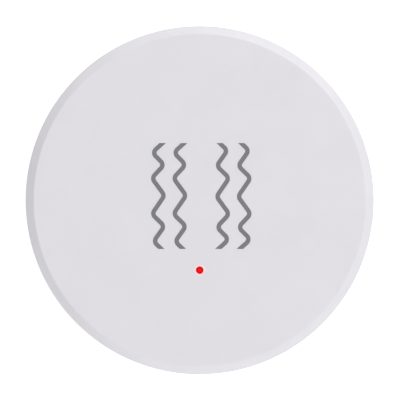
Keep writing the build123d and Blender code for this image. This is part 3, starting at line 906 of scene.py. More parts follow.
class SENSORTAG_OT_base(bpy.types.Operator):
    """Model the base: floor, rim, thread lugs, stop, board key and screw bosses"""
    bl_idname = "sensor_tag.base"
    bl_label = "Base"

    hole_clearance: length("Hole Clearance", 0.00003, "Gap between a screw's thread and its hole")
    hole_extra: length("Hole Extra", 0.0001, "How far a screw hole goes on below the screw")

    def execute(self, context):
        size = sizes()
        low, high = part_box("base")
        radius = high.x
        floor_top = low.z + size.floor_thickness
        base = shaped("base_shell", add_turned, [
            (0, low.z, 0),
            (radius - size.base_chamfer, low.z, size.parting_rounding),
            (radius, low.z + size.base_chamfer, size.parting_rounding),
            (radius, floor_top, size.parting_rounding),
            (size.rim_outer_radius, floor_top, size.parting_rounding),
            (size.rim_outer_radius, high.z, size.parting_rounding),
            (size.rim_inner_radius, high.z, size.parting_rounding),
            (size.rim_inner_radius, floor_top, size.parting_rounding),
            (0, floor_top, 0),
        ])
        combine(base, self.added(floor_top), "UNION")
        combine(base, self.screw_holes(), "DIFFERENCE")
        shell = moulded("tag_shell", colours().shell)
        dress(base, shell, "base", "white_shell", "base")
        return {"FINISHED"}

    def added(self, floor_top):
        """The thread lugs, the stop, the board's key and the screw bosses."""
        size = sizes()
        rim = size.rim_outer_radius
        lugs = [shaped("base_lug", add_lug, rim - OVERRUN, rim + size.lug_depth, angle, base_lug_start())
                for angle in lug_angles()]
        stop_width = math.radians(angles().stop_span) * rim
        stop_angle = angles().first_lug - angles().stop_gap - angles().stop_span / 2
        stop = shaped("stop", add_block, (-OVERRUN, -stop_width / 2, floor_top - OVERRUN),
                      (size.lug_depth, stop_width / 2, floor_top + size.stop_height),
                      size.parting_rounding / 2, spoke(stop_angle, rim))
        board_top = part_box("circuit_board")[1].z
        key = shaped("key", add_block, (-size.key_depth, -size.key_width / 2, floor_top - OVERRUN),
                     (OVERRUN, size.key_width / 2, board_top), size.parting_rounding / 2,
                     spoke(angles().key, size.rim_inner_radius))
        bosses = [shaped("boss", add_disc, centre, size.boss_radius, floor_top - OVERRUN,
                         floor_top + size.boss_height) for centre in screw_centres()]
        return lugs + [stop, key] + bosses

    def screw_holes(self):
        """The holes in the bosses for the screws' threads."""
        radius = sizes().screw_radius + self.hole_clearance
        bottom = node_solids("board_screws")[0][0].z - self.hole_extra
        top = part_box("circuit_board")[0].z + OVERRUN
        return [shaped("screw_hole", add_disc, centre, radius, bottom, top) for centre in screw_centres()]


def screw_centres():
    """Where the screws stand, at height zero."""
    return [flat_middle(low, high) for low, high in node_solids("board_screws")]


class SENSORTAG_OT_seals(bpy.types.Operator):
    """Model the adhesive foam pad, the silicone seal ring and the foam cushion over the cell"""
    bl_idname = "sensor_tag.seals"
    bl_label = "Pad, Seal Ring and Cushion"

    edge: length("Edge", 0.0001, "Rounding of the die-cut edges")
    ring_width: length("Ring Width", 0.0024, "Width of the silicone ring")
    tight: number("Tight", 1.0, "How tightly the foam is filled")

    def execute(self, context):
        low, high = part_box("adhesive_pad")
        foam = finished("tag_foam_tape", colours().foam_tape, roughness=0.85, mottled=(0.12, 0.0008),
                        foamed=(0.00018, 0.00003))
        disc = shaped("adhesive_foam", add_disc, middle("adhesive_pad"), high.x, low.z, high.z, self.edge,
                      TURN_STEPS)
        pad = dress(disc, foam, "base", "mounting_foam", "adhesive_pad")

        low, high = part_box("sealing_gasket")
        inner = high.x - self.ring_width
        rounding = (high.z - low.z) * THIN_ROUNDING
        ring = shaped("seal_ring", add_turned, [
            (inner, low.z, rounding),
            (high.x, low.z, rounding),
            (high.x, high.z, rounding),
            (inner, high.z, rounding),
        ])
        silicone = finished("tag_silicone", colours().seal, roughness=0.45, mottled=(0.03, 0.003),
                            varied=(0.38, 0.55, 0.001), grained=(0.00025, 0.000003), Subsurface_Weight=0.2)
        dress(ring, silicone, "gasket", "seal_silicone", "sealing_gasket")

        low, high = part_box("cell_cushion")
        foam = finished("tag_cushion_foam", colours().cushion, roughness=0.95, mottled=(0.25, 0.0005),
                        foamed=(0.0003, 0.00008))
        disc = shaped("cushion_disc", add_disc, middle("cell_cushion"), radius_of("cell_cushion"), low.z,
                      high.z, self.edge, TURN_STEPS // 2)
        cushion = dress(disc, foam, "cap", "cushion_foam", "cell_cushion")
        return {"FINISHED"}


class SENSORTAG_OT_board(bpy.types.Operator):
    """Model the circuit board with its tracks, vias, gold rings and printed outlines"""
    bl_idname = "sensor_tag.board"
    bl_label = "Circuit Board"

    hole_radius: length("Hole Radius", 0.00095, "Radius of the screw holes")
    key_gap: length("Key Gap", 0.00015, "Gap between the board and the base's key")
    edge: length("Edge", 0.00004, "Rounding of the routed edge")
    copper: length("Copper", 0.00002, "Height of the tracks")
    track_width: length("Track Width", 0.00018, "Width of a track")
    ring_radius: length("Ring Radius", 0.00165, "Radius of the gold ring round a screw hole")
    via_radius: length("Via Radius", 0.00026, "Radius of a via's gold ring")
    via_bore: length("Via Bore", 0.00012, "Radius of a via's hole")
    layer_step: length("Layer Step", 0.000003, "Difference in height between thin layers that cross")
    ring_rise: number("Ring Rise", 1.3, "Height of a screw's gold ring, in track heights")
    via_rise: number("Via Rise", 1.6, "Height of a via's gold ring, in track heights")
    ink_height: length("Ink Height", 0.00003, "Height of the printed outlines")
    ink_width: length("Ink Width", 0.00012, "Width of the printed outlines")
    ink_margin: length("Ink Margin", 0.0003, "Gap between a package and its printed outline")
    contact_pad: length("Contact Pad", 0.0026, "Radius of the gold pad under the cell's lower contact")

    def execute(self, context):
        low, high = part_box("circuit_board")
        board = shaped("board_disc", add_disc, Vector((0, 0, 0)), high.x, low.z, high.z, self.edge,
                       TURN_STEPS)
        combine(board, self.cutters(low.z, high.z), "DIFFERENCE")
        mask = finished("tag_solder_mask", colours().mask, roughness=0.3, mottled=(0.10, 0.002),
                        varied=(0.22, 0.36, 0.0015), grained=(0.0003, 0.000004))
        dress(board, mask, "base", "board_laminate", "circuit_board")
        laminate = finished("tag_laminate", colours().laminate, roughness=0.75, mottled=(0.2, 0.0002))
        brushed_lines(laminate, size=0.0001, depth=0.00001, along=LAYERED)
        paint(board, laminate, lambda face: abs(face.normal.z) < LEVEL_NORMAL)
        self.add_tracks(high.z)
        self.add_gold(high.z)
        self.add_outlines(high.z)
        return {"FINISHED"}

    def cutters(self, bottom, top):
        """The screw holes and the slot for the base's key."""
        size = sizes()
        holes = [shaped("board_hole", add_disc, centre, self.hole_radius, bottom - OVERRUN, top + OVERRUN)
                 for centre in screw_centres()]
        half = size.key_width / 2 + self.key_gap
        slot = shaped("key_slot", add_block, (-size.key_depth - self.key_gap, -half, bottom - OVERRUN),
                      (size.key_depth, half, top + OVERRUN), 0, spoke(angles().key, size.rim_inner_radius))
        return holes + [slot]

    def add_tracks(self, board_top):
        """Copper tracks under the solder mask."""
        bm = bmesh.new()
        for route in TRACK_ROUTES:
            lay_route(bm, route, board_top)
        for route in via_routes():
            lay_route(bm, route, board_top + self.layer_step, scale=1)
        for radius, first, last in ARC_TRACKS:
            arc = [(radius * math.cos(math.radians(angle)), radius * math.sin(math.radians(angle)))
                   for angle in range(first, last + 1, ARC_STEP)]
            lay_route(bm, arc, board_top)
        tracks = sheet("board_tracks", bm, (0, 0, self.copper), self.track_width)
        tone = [min(1, COVERED_COPPER_LIFT * channel) for channel in colours().mask]
        copper = finished("tag_covered_copper", tone, roughness=0.32, mottled=(0.08, 0.001),
                          grained=(0.0003, 0.000003))
        dress(tracks, copper, "base", "board_laminate")

    def add_gold(self, board_top):
        """Gold rings round the screws and vias, and the pad under the cell's lower contact."""
        bm = bmesh.new()
        for centre in screw_centres():
            add_ring(bm, centre, self.hole_radius + self.edge, self.ring_radius, board_top - SINK,
                     board_top + self.ring_rise * self.copper, SMALL_TURN_STEPS)
        for centre in [route[-1] for route in via_routes()] + edge_vias():
            add_ring(bm, centre, self.via_bore, self.via_radius, board_top - SINK,
                     board_top + self.via_rise * self.copper, VIA_STEPS)
        add_disc(bm, middle("cell_holder"), self.contact_pad, board_top - SINK, board_top + self.copper, 0)
        gold = plated("tag_board_gold", colours().gold, roughness=0.3)
        dress(solid_object("board_gold", bm), gold, "base", "gold_plating")

    def add_outlines(self, board_top):
        """A printed outline round each package, each a little higher than the one before."""
        bm = bmesh.new()
        for index, node in enumerate(OUTLINED_NODES):
            bottom = board_top + index * self.layer_step
            for part in node_frames(node):
                half_length = part.length / 2 + self.ink_margin
                half_width = part.width / 2 + self.ink_margin
                corners = [part.place @ Vector((x * half_length, y * half_width, bottom))
                           for x, y in ((-1, -1), (1, -1), (1, 1), (-1, 1))]
                rounded_path(bm, [(corner, self.ink_width) for corner in corners], closed=True)
        outlines = sheet("board_outlines", bm, (0, 0, self.ink_height), self.ink_width)
        ink = finished("tag_silkscreen", colours().silkscreen, roughness=0.6, mottled=(0.06, 0.0003))
        dress(outlines, ink, "base", "board_laminate")


# Runs of tracks on the board, in millimetres
TRACK_ROUTES = tuple(
    tuple((x + shift * across, y + shift * down) for x, y in route)
    for route, across, down, shifts in (
        (((-3.7, -9.6), (-2.9, -10.4), (0.6, -10.4), (1.0, -10.8), (1.3, -10.8)), 0, -0.36, (-1, 0, 1)),
        (((-5.2, -12.0), (-5.2, -12.6), (-4.5, -13.3), (3.5, -13.3), (5.0, -14.0)), 0.25, 0.3, (0, 1, 2)),
        (((-8.8, -7.8), (-9.4, -7.2), (-10.4, -7.2)), -0.25, -0.35, (0,)),
        (((3.4, -10.6), (4.2, -9.8), (6.0, -9.8), (6.6, -9.2), (7.2, -9.2)), 0, -0.35, (-1, 0, 1)),
        (((10.9, -8.0), (11.8, -6.6), (11.8, -4.5)), 0.4, 0, (0, 1, 2)),
        (((-1.7, -8.0), (-2.4, -8.0), (-3.0, -8.4), (-3.7, -8.4)), 0, -0.4, (0,)),
        (((1.7, -8.0), (3.0, -8.0), (3.8, -8.8), (4.8, -8.8)), 0, 0, (0,)),
    )
    for shift in shifts
)
OUTLINED_NODES = ("radio_chip", "accelerometer", "radio_crystal", "clock_crystal", "led_package",
                  "switch_body", "bulk_capacitor", "chip_antenna")
TWO_ENDED_NODES = {"ceramic_capacitors": "capacitor_tan", "chip_resistors": "resistor_black",
                   "chip_inductors": "inductor_grey"}
# Tracks round the board's open side: radius in millimetres, first and last angle. Then the angle from one
# corner of such a track to the next
ARC_TRACKS = ((14.35, -4, 44), (14.7, -4, 48), (14.35, 140, 144), (14.7, 156, 184))
ARC_STEP = 4
# How much lighter than the bare board a track looks through the solder mask
COVERED_COPPER_LIFT = 1.7
# A via's short track: its first leg, how far out the via lies and how far to the side
VIA_RUN = 0.00045
VIA_REACH = 2 * VIA_RUN
VIA_SIDE = 0.8 * VIA_RUN
# What vias keep clear of each other and of parts, of screws and the key, and of the board's edge
VIA_CLEARANCE = 1.5 * VIA_RUN
SCREW_CLEARANCE = 5 * VIA_RUN
EDGE_VIA_INSET = 3 * VIA_RUN / 2
# Angle from one via along the board's edge to the next, in degrees
EDGE_VIA_STEP = 9
MM = 0.001


def lay_route(bm, points, height, scale=MM):
    """Lay a wire through flat points at a height."""
    rounded_path(bm, [(Vector((point[0] * scale, point[1] * scale, height)), 0) for point in points])


def via_routes():
    """Short tracks from the ends of the small parts to vias, where there is room for one."""
    routes = []
    for node in TWO_ENDED_NODES:
        for index, part in enumerate(node_frames(node)):
            for side in (-1, 1):
                start = part.place @ Vector((side * part.length / 2, 0, 0))
                bend = part.place @ Vector((side * (part.length / 2 + VIA_RUN), 0, 0))
                turn = side if index % 2 else -side
                end = part.place @ Vector((side * (part.length / 2 + VIA_REACH), turn * VIA_SIDE, 0))
                if is_free(end, [route[-1] for route in routes]):
                    routes.append((start, bend, end))
    return routes


def edge_vias():
    """Vias along the board's edge, where nothing else is."""
    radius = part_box("circuit_board")[1].x - EDGE_VIA_INSET
    taken = [route[-1] for route in via_routes()]
    spots = [spoke(angle, radius).translation for angle in range(0, 360, EDGE_VIA_STEP)]
    return [spot for spot in spots if is_free(spot, taken)]


def is_free(spot, vias):
    """Whether a via fits at a spot on the board, clear of everything else and of the vias so far."""
    return (spot.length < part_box("circuit_board")[1].x - VIA_RUN and clear_of_holder(spot)
            and clear_of_parts(spot) and all((spot - via).length > VIA_CLEARANCE for via in vias))


def clear_of_parts(point):
    """Whether a spot on the board is free of screws, the key, packages and small parts."""
    key = spoke(angles().key, sizes().rim_inner_radius).translation
    if min((point - centre).length for centre in screw_centres() + [key]) < SCREW_CLEARANCE:
        return False
    for node in OUTLINED_NODES + tuple(TWO_ENDED_NODES) + ("positive_contact", "test_pads"):
        for part in node_frames(node):
            local = part.place.inverted() @ point
            if (abs(local.x) < part.length / 2 + VIA_CLEARANCE
                    and abs(local.y) < part.width / 2 + VIA_CLEARANCE):
                return False
    return True


def clear_of_holder(point):
    """Whether a spot on the board is outside the cell's holder."""
    return (point - middle("cell_holder")).length > radius_of("cell_holder") + VIA_RUN


# How the cross slots are turned, in degrees
FIRST_SCREW_TURN = 20
SCREW_TURN_STEP = 55


class SENSORTAG_OT_screws(bpy.types.Operator):
    """Model the three pan-head screws that hold the board"""
    bl_idname = "sensor_tag.screws"
    bl_label = "Board Screws"

    head_height: length("Head Height", 0.0009, "Height of the head")
    head_rounding: length("Head Rounding", 0.0003, "Rounding of the head's edge")
    slot_width: length("Slot Width", 0.0004, "Width of the cross slots")
    slot_length: length("Slot Length", 0.0018, "Length of the cross slots")
    slot_depth: length("Slot Depth", 0.00045, "Depth of the cross slots")
    point_radius: length("Point Radius", 0.0005, "Radius of the screw's tip")

    def execute(self, context):
        heads = bmesh.new()
        slots = {0: bmesh.new(), math.pi / 2: bmesh.new()}
        for index, (low, high) in enumerate(node_solids("board_screws")):
            centre = flat_middle(low, high)
            head_radius = (high.x - low.x) / 2
            under_head = high.z - self.head_height
            taper = sizes().screw_radius - self.point_radius
            add_turned(heads, [
                (0, low.z, 0),
                (self.point_radius, low.z, 0),
                (sizes().screw_radius, low.z + taper, 0),
                (sizes().screw_radius, under_head, 0),
                (head_radius, under_head, SINK),
                (head_radius, high.z, self.head_rounding),
                (0, high.z, 0),
            ], centre, SMALL_TURN_STEPS)
            turn = Matrix.Rotation(math.radians(FIRST_SCREW_TURN + index * SCREW_TURN_STEP), 4, "Z")
            for across, cutters in slots.items():
                add_block(cutters, (-self.slot_length / 2, -self.slot_width / 2, high.z - self.slot_depth),
                          (self.slot_length / 2, self.slot_width / 2, high.z + OVERRUN), 0,
                          Matrix.Translation(centre) @ turn @ Matrix.Rotation(across, 4, "Z"))
        screws = solid_object("pan_head_screws", heads)
        combine(screws, [solid_object("cross_slot", cutters) for cutters in slots.values()], "DIFFERENCE")
        steel = plated("tag_screw_steel", colours().screw, roughness=0.3)
        dress(screws, steel, "base", "screw_steel", "board_screws")
        return {"FINISHED"}


class SENSORTAG_OT_cell(bpy.types.Operator):
    """Model the coin cell: its can with a raised rim and a plus sign, the sealing ring and the lid"""
    bl_idname = "sensor_tag.cell"
    bl_label = "Coin Cell"

    can_rounding: length("Can Rounding", 0.0003, "Rounding of the can's shoulder")
    crimp_rounding: length("Crimp Rounding", 0.0002, "Rounding of the crimped edge")
    step_inset: length("Step Inset", 0.0012, "Width of the rim round the can's top")
    step_depth: length("Step Depth", 0.00004, "Depth of the can's top within its rim")
    plus_length: length("Plus Length", 0.0034, "Length of the plus sign's strokes")
    plus_width: length("Plus Width", 0.0007, "Width of the plus sign's strokes")
    plus_depth: length("Plus Depth", 0.00012, "Depth of the plus sign")
    lid_step: length("Lid Step", 0.0012, "Width of the lid's sloping edge")
    fit: length("Fit", 0.00002, "Gap between the cell's pieces")

    def execute(self, context):
        centre = middle("cell_can")
        can_low, can_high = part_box("cell_can")
        seal_low, seal_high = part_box("cell_seal")
        lid_low, lid_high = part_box("cell_lid")
        radius, seal_radius, lid_radius = radius_of("cell_can"), radius_of("cell_seal"), radius_of("cell_lid")
        pocket = seal_radius + self.fit
        metal = finished("tag_cell_steel", colours().cell, roughness=0.36, mottled=(0.03, 0.003),
                         varied=(0.3, 0.43, 0.0008), metallic=1.0)
        turned_lines(metal, centre, pitch=0.00012, depth=0.0000025)

        inner_top = can_high.z - self.step_depth
        can = shaped("cell_can_turned", add_turned, [
            (0, lid_high.z, 0),
            (pocket, lid_high.z, 0),
            (pocket, can_low.z, 0),
            (radius, can_low.z, self.crimp_rounding),
            (radius, can_high.z, self.can_rounding),
            (radius - self.step_inset, can_high.z, SINK),
            (radius - self.step_inset - self.step_depth * 2, inner_top, SINK),
            (0, inner_top, 0),
        ], centre)
        half, stroke = self.plus_length / 2, self.plus_width / 2
        strokes = [shaped("plus_stroke", add_block, (-half, -stroke, inner_top - self.plus_depth),
                          (half, stroke, can_high.z + OVERRUN), 0,
                          Matrix.Translation(centre) @ Matrix.Rotation(across, 4, "Z"))
                   for across in (0, math.pi / 2)]
        combine(can, strokes, "DIFFERENCE")
        dress(can, metal, "cell", "cell_steel", "cell_can")
        # The floor of the plus sign's recess is painted darker: painted shade in the recess
        shaded = finished("tag_cell_etching", colours().painted_plus_shade, roughness=0.5, mottled=(0.1, 0.0003),
                          grained=(0.0001, 0.000003), metallic=1.0)
        plus_shade_level = inner_top - self.plus_depth / 2
        paint(can, shaded, lambda face: can_low.z + can_high.z < 2 * face.center.z < 2 * plus_shade_level
              and (face.center - centre).xy.length < self.plus_length)

        lid = shaped("cell_lid_turned", add_turned, [
            (0, lid_low.z, 0),
            (lid_radius - self.lid_step, lid_low.z, self.crimp_rounding),
            (lid_radius, lid_low.z + self.crimp_rounding, self.crimp_rounding / 2),
            (lid_radius, lid_high.z - self.fit, 0),
            (0, lid_high.z - self.fit, 0),
        ], centre)
        dress(lid, metal, "cell", "cell_steel", "cell_lid")

        seal = shaped("cell_seal_ring", add_ring, centre, lid_radius + self.fit, seal_radius, seal_low.z,
                      seal_high.z - self.fit, TURN_STEPS)
        plastic = finished("tag_cell_seal", colours().cell_seal, roughness=0.3, mottled=(0.06, 0.0006),
                           grained=(0.0002, 0.000002))
        dress(seal, plastic, "cell", "cell_sealing", "cell_seal")
        return {"FINISHED"}


# Where the contact at the cell's side stands, in degrees
SIDE_CONTACT_ANGLE = 180


class SENSORTAG_OT_holder(bpy.types.Operator):
    """Model the cell holder with its finger notch, and the two spring contacts"""
    bl_idname = "sensor_tag.holder"
    bl_label = "Cell Holder and Contacts"

    wall: length("Wall", 0.0008, "Wall of the holder")
    ledge_width: length("Ledge Width", 0.0007, "Width of the ledge that the cell sits on")
    ledge_height: length("Ledge Height", 0.0009, "Height of the ledge over the board")
    notch_width: length("Notch Width", 0.009, "Width of the finger notch")
    notch_depth: length("Notch Depth", 0.0018, "Depth of the finger notch")
    window_width: length("Window Width", 0.004, "Width of the window for the side contact")
    edge: length("Edge", 0.00012, "Rounding of the moulding's edges")
    side_width: length("Side Contact Width", 0.0036, "Width of the side contact")
    side_foot: length("Side Contact Foot", 0.003, "Length of the side contact's foot")
    side_flare: length("Side Contact Flare", 0.0005, "How far the side contact flares at the top")
    lower_width: length("Lower Contact Width", 0.0026, "Width of the lower contact")
    lower_tip: length("Lower Contact Tip", 0.001, "Length of the lower contact's tips")
    lower_foot: length("Lower Contact Foot", 0.0015, "Half length of the lower contact's foot")

    def execute(self, context):
        self.add_holder()
        metal = plated("tag_spring_strip", colours().spring, roughness=0.26)
        self.add_side_contact(metal)
        self.add_lower_contact(metal)
        return {"FINISHED"}

    def add_holder(self):
        """The round holder, open for a finger and for the side contact."""
        low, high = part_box("cell_holder")
        centre = middle("cell_holder")
        radius = radius_of("cell_holder")
        ledge_top = low.z + self.ledge_height
        holder = shaped("holder_ring", add_turned, [
            (radius - self.wall - self.ledge_width, low.z, 0),
            (radius, low.z, self.edge),
            (radius, high.z, self.edge),
            (radius - self.wall, high.z, 2 * self.edge),
            (radius - self.wall, ledge_top, self.edge),
            (radius - self.wall - self.ledge_width, ledge_top, self.edge),
        ], centre)
        reach = 2 * self.wall
        notch = shaped("finger_notch", add_block, (-reach, -self.notch_width / 2, high.z - self.notch_depth),
                       (reach, self.notch_width / 2, high.z + OVERRUN + 2 * self.edge), 2 * self.edge,
                       Matrix.Translation(centre) @ spoke(angles().holder_notch, radius))
        window = shaped("contact_window", add_block, (-2 * reach, -self.window_width / 2, low.z - OVERRUN),
                        (reach, self.window_width / 2, high.z + OVERRUN), 0,
                        Matrix.Translation(centre) @ spoke(SIDE_CONTACT_ANGLE, radius))
        combine(holder, [notch, window], "DIFFERENCE")
        nylon = moulded("tag_nylon", colours().nylon, spread=0.12)
        dress(holder, nylon, "base", "black_nylon", "cell_holder")

    def add_side_contact(self, metal):
        """The spring strip that touches the cell's side."""
        low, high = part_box("positive_contact")
        half = sizes().strip_thickness / 2
        outer = middle("cell_can").x - low.x
        leg = outer - self.side_foot
        points = [(outer, low.z + half), (leg, low.z + half), (leg, high.z - self.side_flare - half),
                  (leg + self.side_flare, high.z - half)]
        strip = bent_strip("side_contact", points, self.side_width,
                           Matrix.Translation(middle("cell_can")) @ spoke(SIDE_CONTACT_ANGLE, 0))
        dress(strip, metal, "base", "spring_metal", "positive_contact")

    def add_lower_contact(self, metal):
        """The spring strip under the cell."""
        low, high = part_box("negative_contact")
        half = sizes().strip_thickness / 2
        reach = radius_of("negative_contact")
        knee = reach - self.lower_tip
        points = [(-reach, high.z - half), (-knee, high.z - half), (-self.lower_foot, low.z + half),
                  (self.lower_foot, low.z + half), (knee, high.z - half), (reach, high.z - half)]
        strip = bent_strip("lower_contact", points, self.lower_width,
                           Matrix.Translation(middle("negative_contact")))
        dress(strip, metal, "base", "spring_metal", "negative_contact")


def bent_strip(name, points, width, place):
    """Spring strip that is bent along points of X and Z, spread evenly to both sides."""
    bm = bmesh.new()
    rounded_path(bm, [(Vector((x, -width / 2, z)), sizes().strip_bend) for x, z in points])
    return sheet(name, bm, (0, width, 0), sizes().strip_thickness, place)


# How far up the sloping cup the lamp's window is cast
WINDOW_FILL = 0.9


class SENSORTAG_OT_lamp(bpy.types.Operator):
    """Model the lamp under the light pipe, with its cup, window and leads"""
    bl_idname = "sensor_tag.lamp"
    bl_label = "Lamp"

    cup_top: length("Cup Top", 0.00085, "Radius of the cup at its mouth")
    cup_bottom: length("Cup Bottom", 0.00055, "Radius of the cup at its floor")
    edge: length("Edge", 0.00006, "Rounding of the package's edges")
    lead_width: length("Lead Width", 0.0014, "Width of a lead")
    lead_height: length("Lead Height", 0.0007, "Height of a lead")
    lead_thickness: length("Lead Thickness", 0.0001, "Thickness of a lead")

    def execute(self, context):
        low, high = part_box("led_package")
        window_low, window_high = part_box("led_window")
        centre = middle("led_package")
        body = shaped("lamp_body_moulded", add_block, low, high, self.edge)
        cup = shaped("cup", add_turned, [
            (0, window_low.z, 0),
            (self.cup_bottom, window_low.z, 0),
            (self.cup_top, high.z, 0),
            (self.cup_top, high.z + OVERRUN, 0),
            (0, high.z + OVERRUN, 0),
        ], centre, SMALL_TURN_STEPS)
        combine(body, [cup], "DIFFERENCE")
        dress(body, moulded("tag_lamp_body", colours().lamp_body), "base", "lamp_body", "led_package")

        filled = self.cup_bottom + (self.cup_top - self.cup_bottom) * WINDOW_FILL
        window = shaped("lamp_window_cast", add_turned, [
            (0, window_low.z, 0),
            (self.cup_bottom, window_low.z, 0),
            (filled, window_high.z - SINK, 0),
            (0, window_high.z - SINK, 0),
        ], centre, SMALL_TURN_STEPS)
        glass = finished("tag_lamp_window", colours().lamp_glass, roughness=0.12, mottled=(0.1, 0.0003),
                         Emission_Color=(*colours().lamp, 1), Emission_Strength=lights().lamp)
        dress(window, glass, "base", "lamp_window", "led_window")

        bm = bmesh.new()
        for side, end in ((-1, low.x), (1, high.x)):
            inner, outer = sorted((end - side * SINK, end + side * self.lead_thickness))
            add_block(bm, (inner, centre.y - self.lead_width / 2, low.z),
                      (outer, centre.y + self.lead_width / 2, low.z + self.lead_height),
                      self.lead_thickness * THIN_ROUNDING)
        dress(solid_object("lamp_leads", bm), tinned(), "base", "spring_metal")
        return {"FINISHED"}


# Rounding of the plunger's crown, in edge roundings
PLUNGER_CROWN = 2.5


class SENSORTAG_OT_button(bpy.types.Operator):
    """Model the setting button: body, cover plate, terminals and plunger"""
    bl_idname = "sensor_tag.button"
    bl_label = "Setting Button"

    well_radius: length("Well Radius", 0.0013, "Radius of the well under the plunger")
    well_depth: length("Well Depth", 0.0011, "Depth of the well under the plunger")
    hole_radius: length("Hole Radius", 0.001, "Radius of the cover's hole")
    stem_radius: length("Stem Radius", 0.00085, "Radius of the plunger's stem")
    flange_height: length("Flange Height", 0.0004, "Height of the plunger's flange")
    tab_width: length("Tab Width", 0.0009, "Width of the cover's folded tabs")
    tab_drop: length("Tab Drop", 0.0009, "Length of the cover's folded tabs")
    terminal_strip: length("Terminal Strip", 0.00015, "Thickness of the terminals' strip")
    stake_radius: length("Stake Radius", 0.00022, "Radius of the melted stakes at the corners")
    edge: length("Edge", 0.00006, "Rounding of the mouldings")

    def execute(self, context):
        part = node_frames("switch_body")[0]
        cover = node_frames("switch_cover")[0]
        self.add_body(part)
        self.add_cover(part, cover)
        self.add_terminals()
        self.add_plunger()
        return {"FINISHED"}

    def add_body(self, part):
        """The moulded body, with a well for the plunger."""
        body = shaped("button_body", add_filled, part, self.edge)
        well = shaped("well", add_disc, part.place.translation, self.well_radius, part.top - self.well_depth,
                      part.top + OVERRUN)
        combine(body, [well], "DIFFERENCE")
        nylon = moulded("tag_button_body", colours().nylon, roughness=0.55, spread=0.15)
        dress(body, nylon, "base", "black_nylon", "switch_body")

    def add_cover(self, part, cover):
        """The cover plate with its folded tabs, and the melted stakes that hold it."""
        bm = bmesh.new()
        half_length, half_width, half_tab = cover.length / 2, cover.width / 2, self.tab_width / 2
        add_filled(bm, cover, SINK / 2)
        thickness = cover.top - cover.bottom
        for side in (-1, 1):
            inner, outer = sorted((side * part.width / 2, side * (part.width / 2 + thickness / 2)))
            add_block(bm, (-half_tab, min(inner, side * half_width), cover.bottom + SINK),
                      (half_tab, max(outer, side * half_width), cover.top - SINK / 2), SINK * THIN_ROUNDING,
                      cover.place)
            add_block(bm, (-half_tab, inner, cover.bottom - self.tab_drop),
                      (half_tab, outer, cover.top - SINK), SINK * THIN_ROUNDING, cover.place)
        plate = solid_object("button_cover", bm)
        hole = shaped("cover_hole", add_disc, cover.place.translation, self.hole_radius,
                      cover.bottom - OVERRUN, cover.top + OVERRUN)
        combine(plate, [hole], "DIFFERENCE")
        dress(plate, plated("tag_cover_plate", colours().spring, roughness=0.3), "base", "spring_metal",
              "switch_cover")
        bm = bmesh.new()
        inset = 2 * self.stake_radius
        for x in (-1, 1):
            for y in (-1, 1):
                centre = cover.place @ Vector((x * (half_length - inset), y * (half_width - inset), 0))
                add_disc(bm, centre, self.stake_radius, cover.top - SINK, cover.top + SINK, SINK / 2,
                         VIA_STEPS)
        nylon = bpy.data.materials["tag_button_body"]
        dress(solid_object("button_stakes", bm), nylon, "base", "black_nylon")

    def add_terminals(self):
        """Strips that run out from under the body and turn up against it."""
        bm = bmesh.new()
        body = middle("switch_body")
        strip = self.terminal_strip
        for part in node_frames("switch_terminals"):
            local = part.place.to_3x3().inverted() @ (part.place.translation - body)
            if abs(local.x) > abs(local.y):
                turn, reach, width = (0 if local.x > 0 else math.pi), part.length / 2, part.width
            else:
                turn, reach, width = math.copysign(math.pi / 2, local.y), part.width / 2, part.length
            section = [(-reach, part.bottom), (reach, part.bottom), (reach, part.bottom + strip),
                       (strip - reach, part.bottom + strip), (strip - reach, part.top), (-reach, part.top)]
            add_section(bm, part.place @ Matrix.Rotation(turn, 4, "Z"), section, -width / 2, width / 2)
        dress(solid_object("button_terminals", bm), tinned(), "base", "spring_metal", "switch_terminals")

    def add_plunger(self):
        """The plunger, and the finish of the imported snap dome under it."""
        low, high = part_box("switch_plunger")
        flange_radius = radius_of("switch_plunger")
        plunger = shaped("button_plunger", add_turned, [
            (0, low.z, 0),
            (flange_radius, low.z, self.edge),
            (flange_radius, low.z + self.flange_height, self.edge),
            (self.stem_radius, low.z + self.flange_height, 0),
            (self.stem_radius, high.z, PLUNGER_CROWN * self.edge),
            (0, high.z, 0),
        ], middle("switch_plunger"), SMALL_TURN_STEPS)
        dress(plunger, moulded("tag_plunger", colours().button, roughness=0.45), "button", "button_plastic",
              "switch_plunger")
        dome = frame["nodes"]["switch_dome"]
        dome.data.materials.clear()
        dome.data.materials.append(plated("tag_dome", colours().spring, roughness=0.25))


# The antenna: its end caps as a share of its length, and its printed line's turns, its reach as a share of
# the half width and its width as a share of a step
ANTENNA_CAP_SHARE = 0.12
MEANDER_TURNS = 5
MEANDER_REACH = 0.7
MEANDER_LINE = 0.35
# How far up the bulk capacitor its straps come, as a share of its height
STRAP_SHARE = 0.6


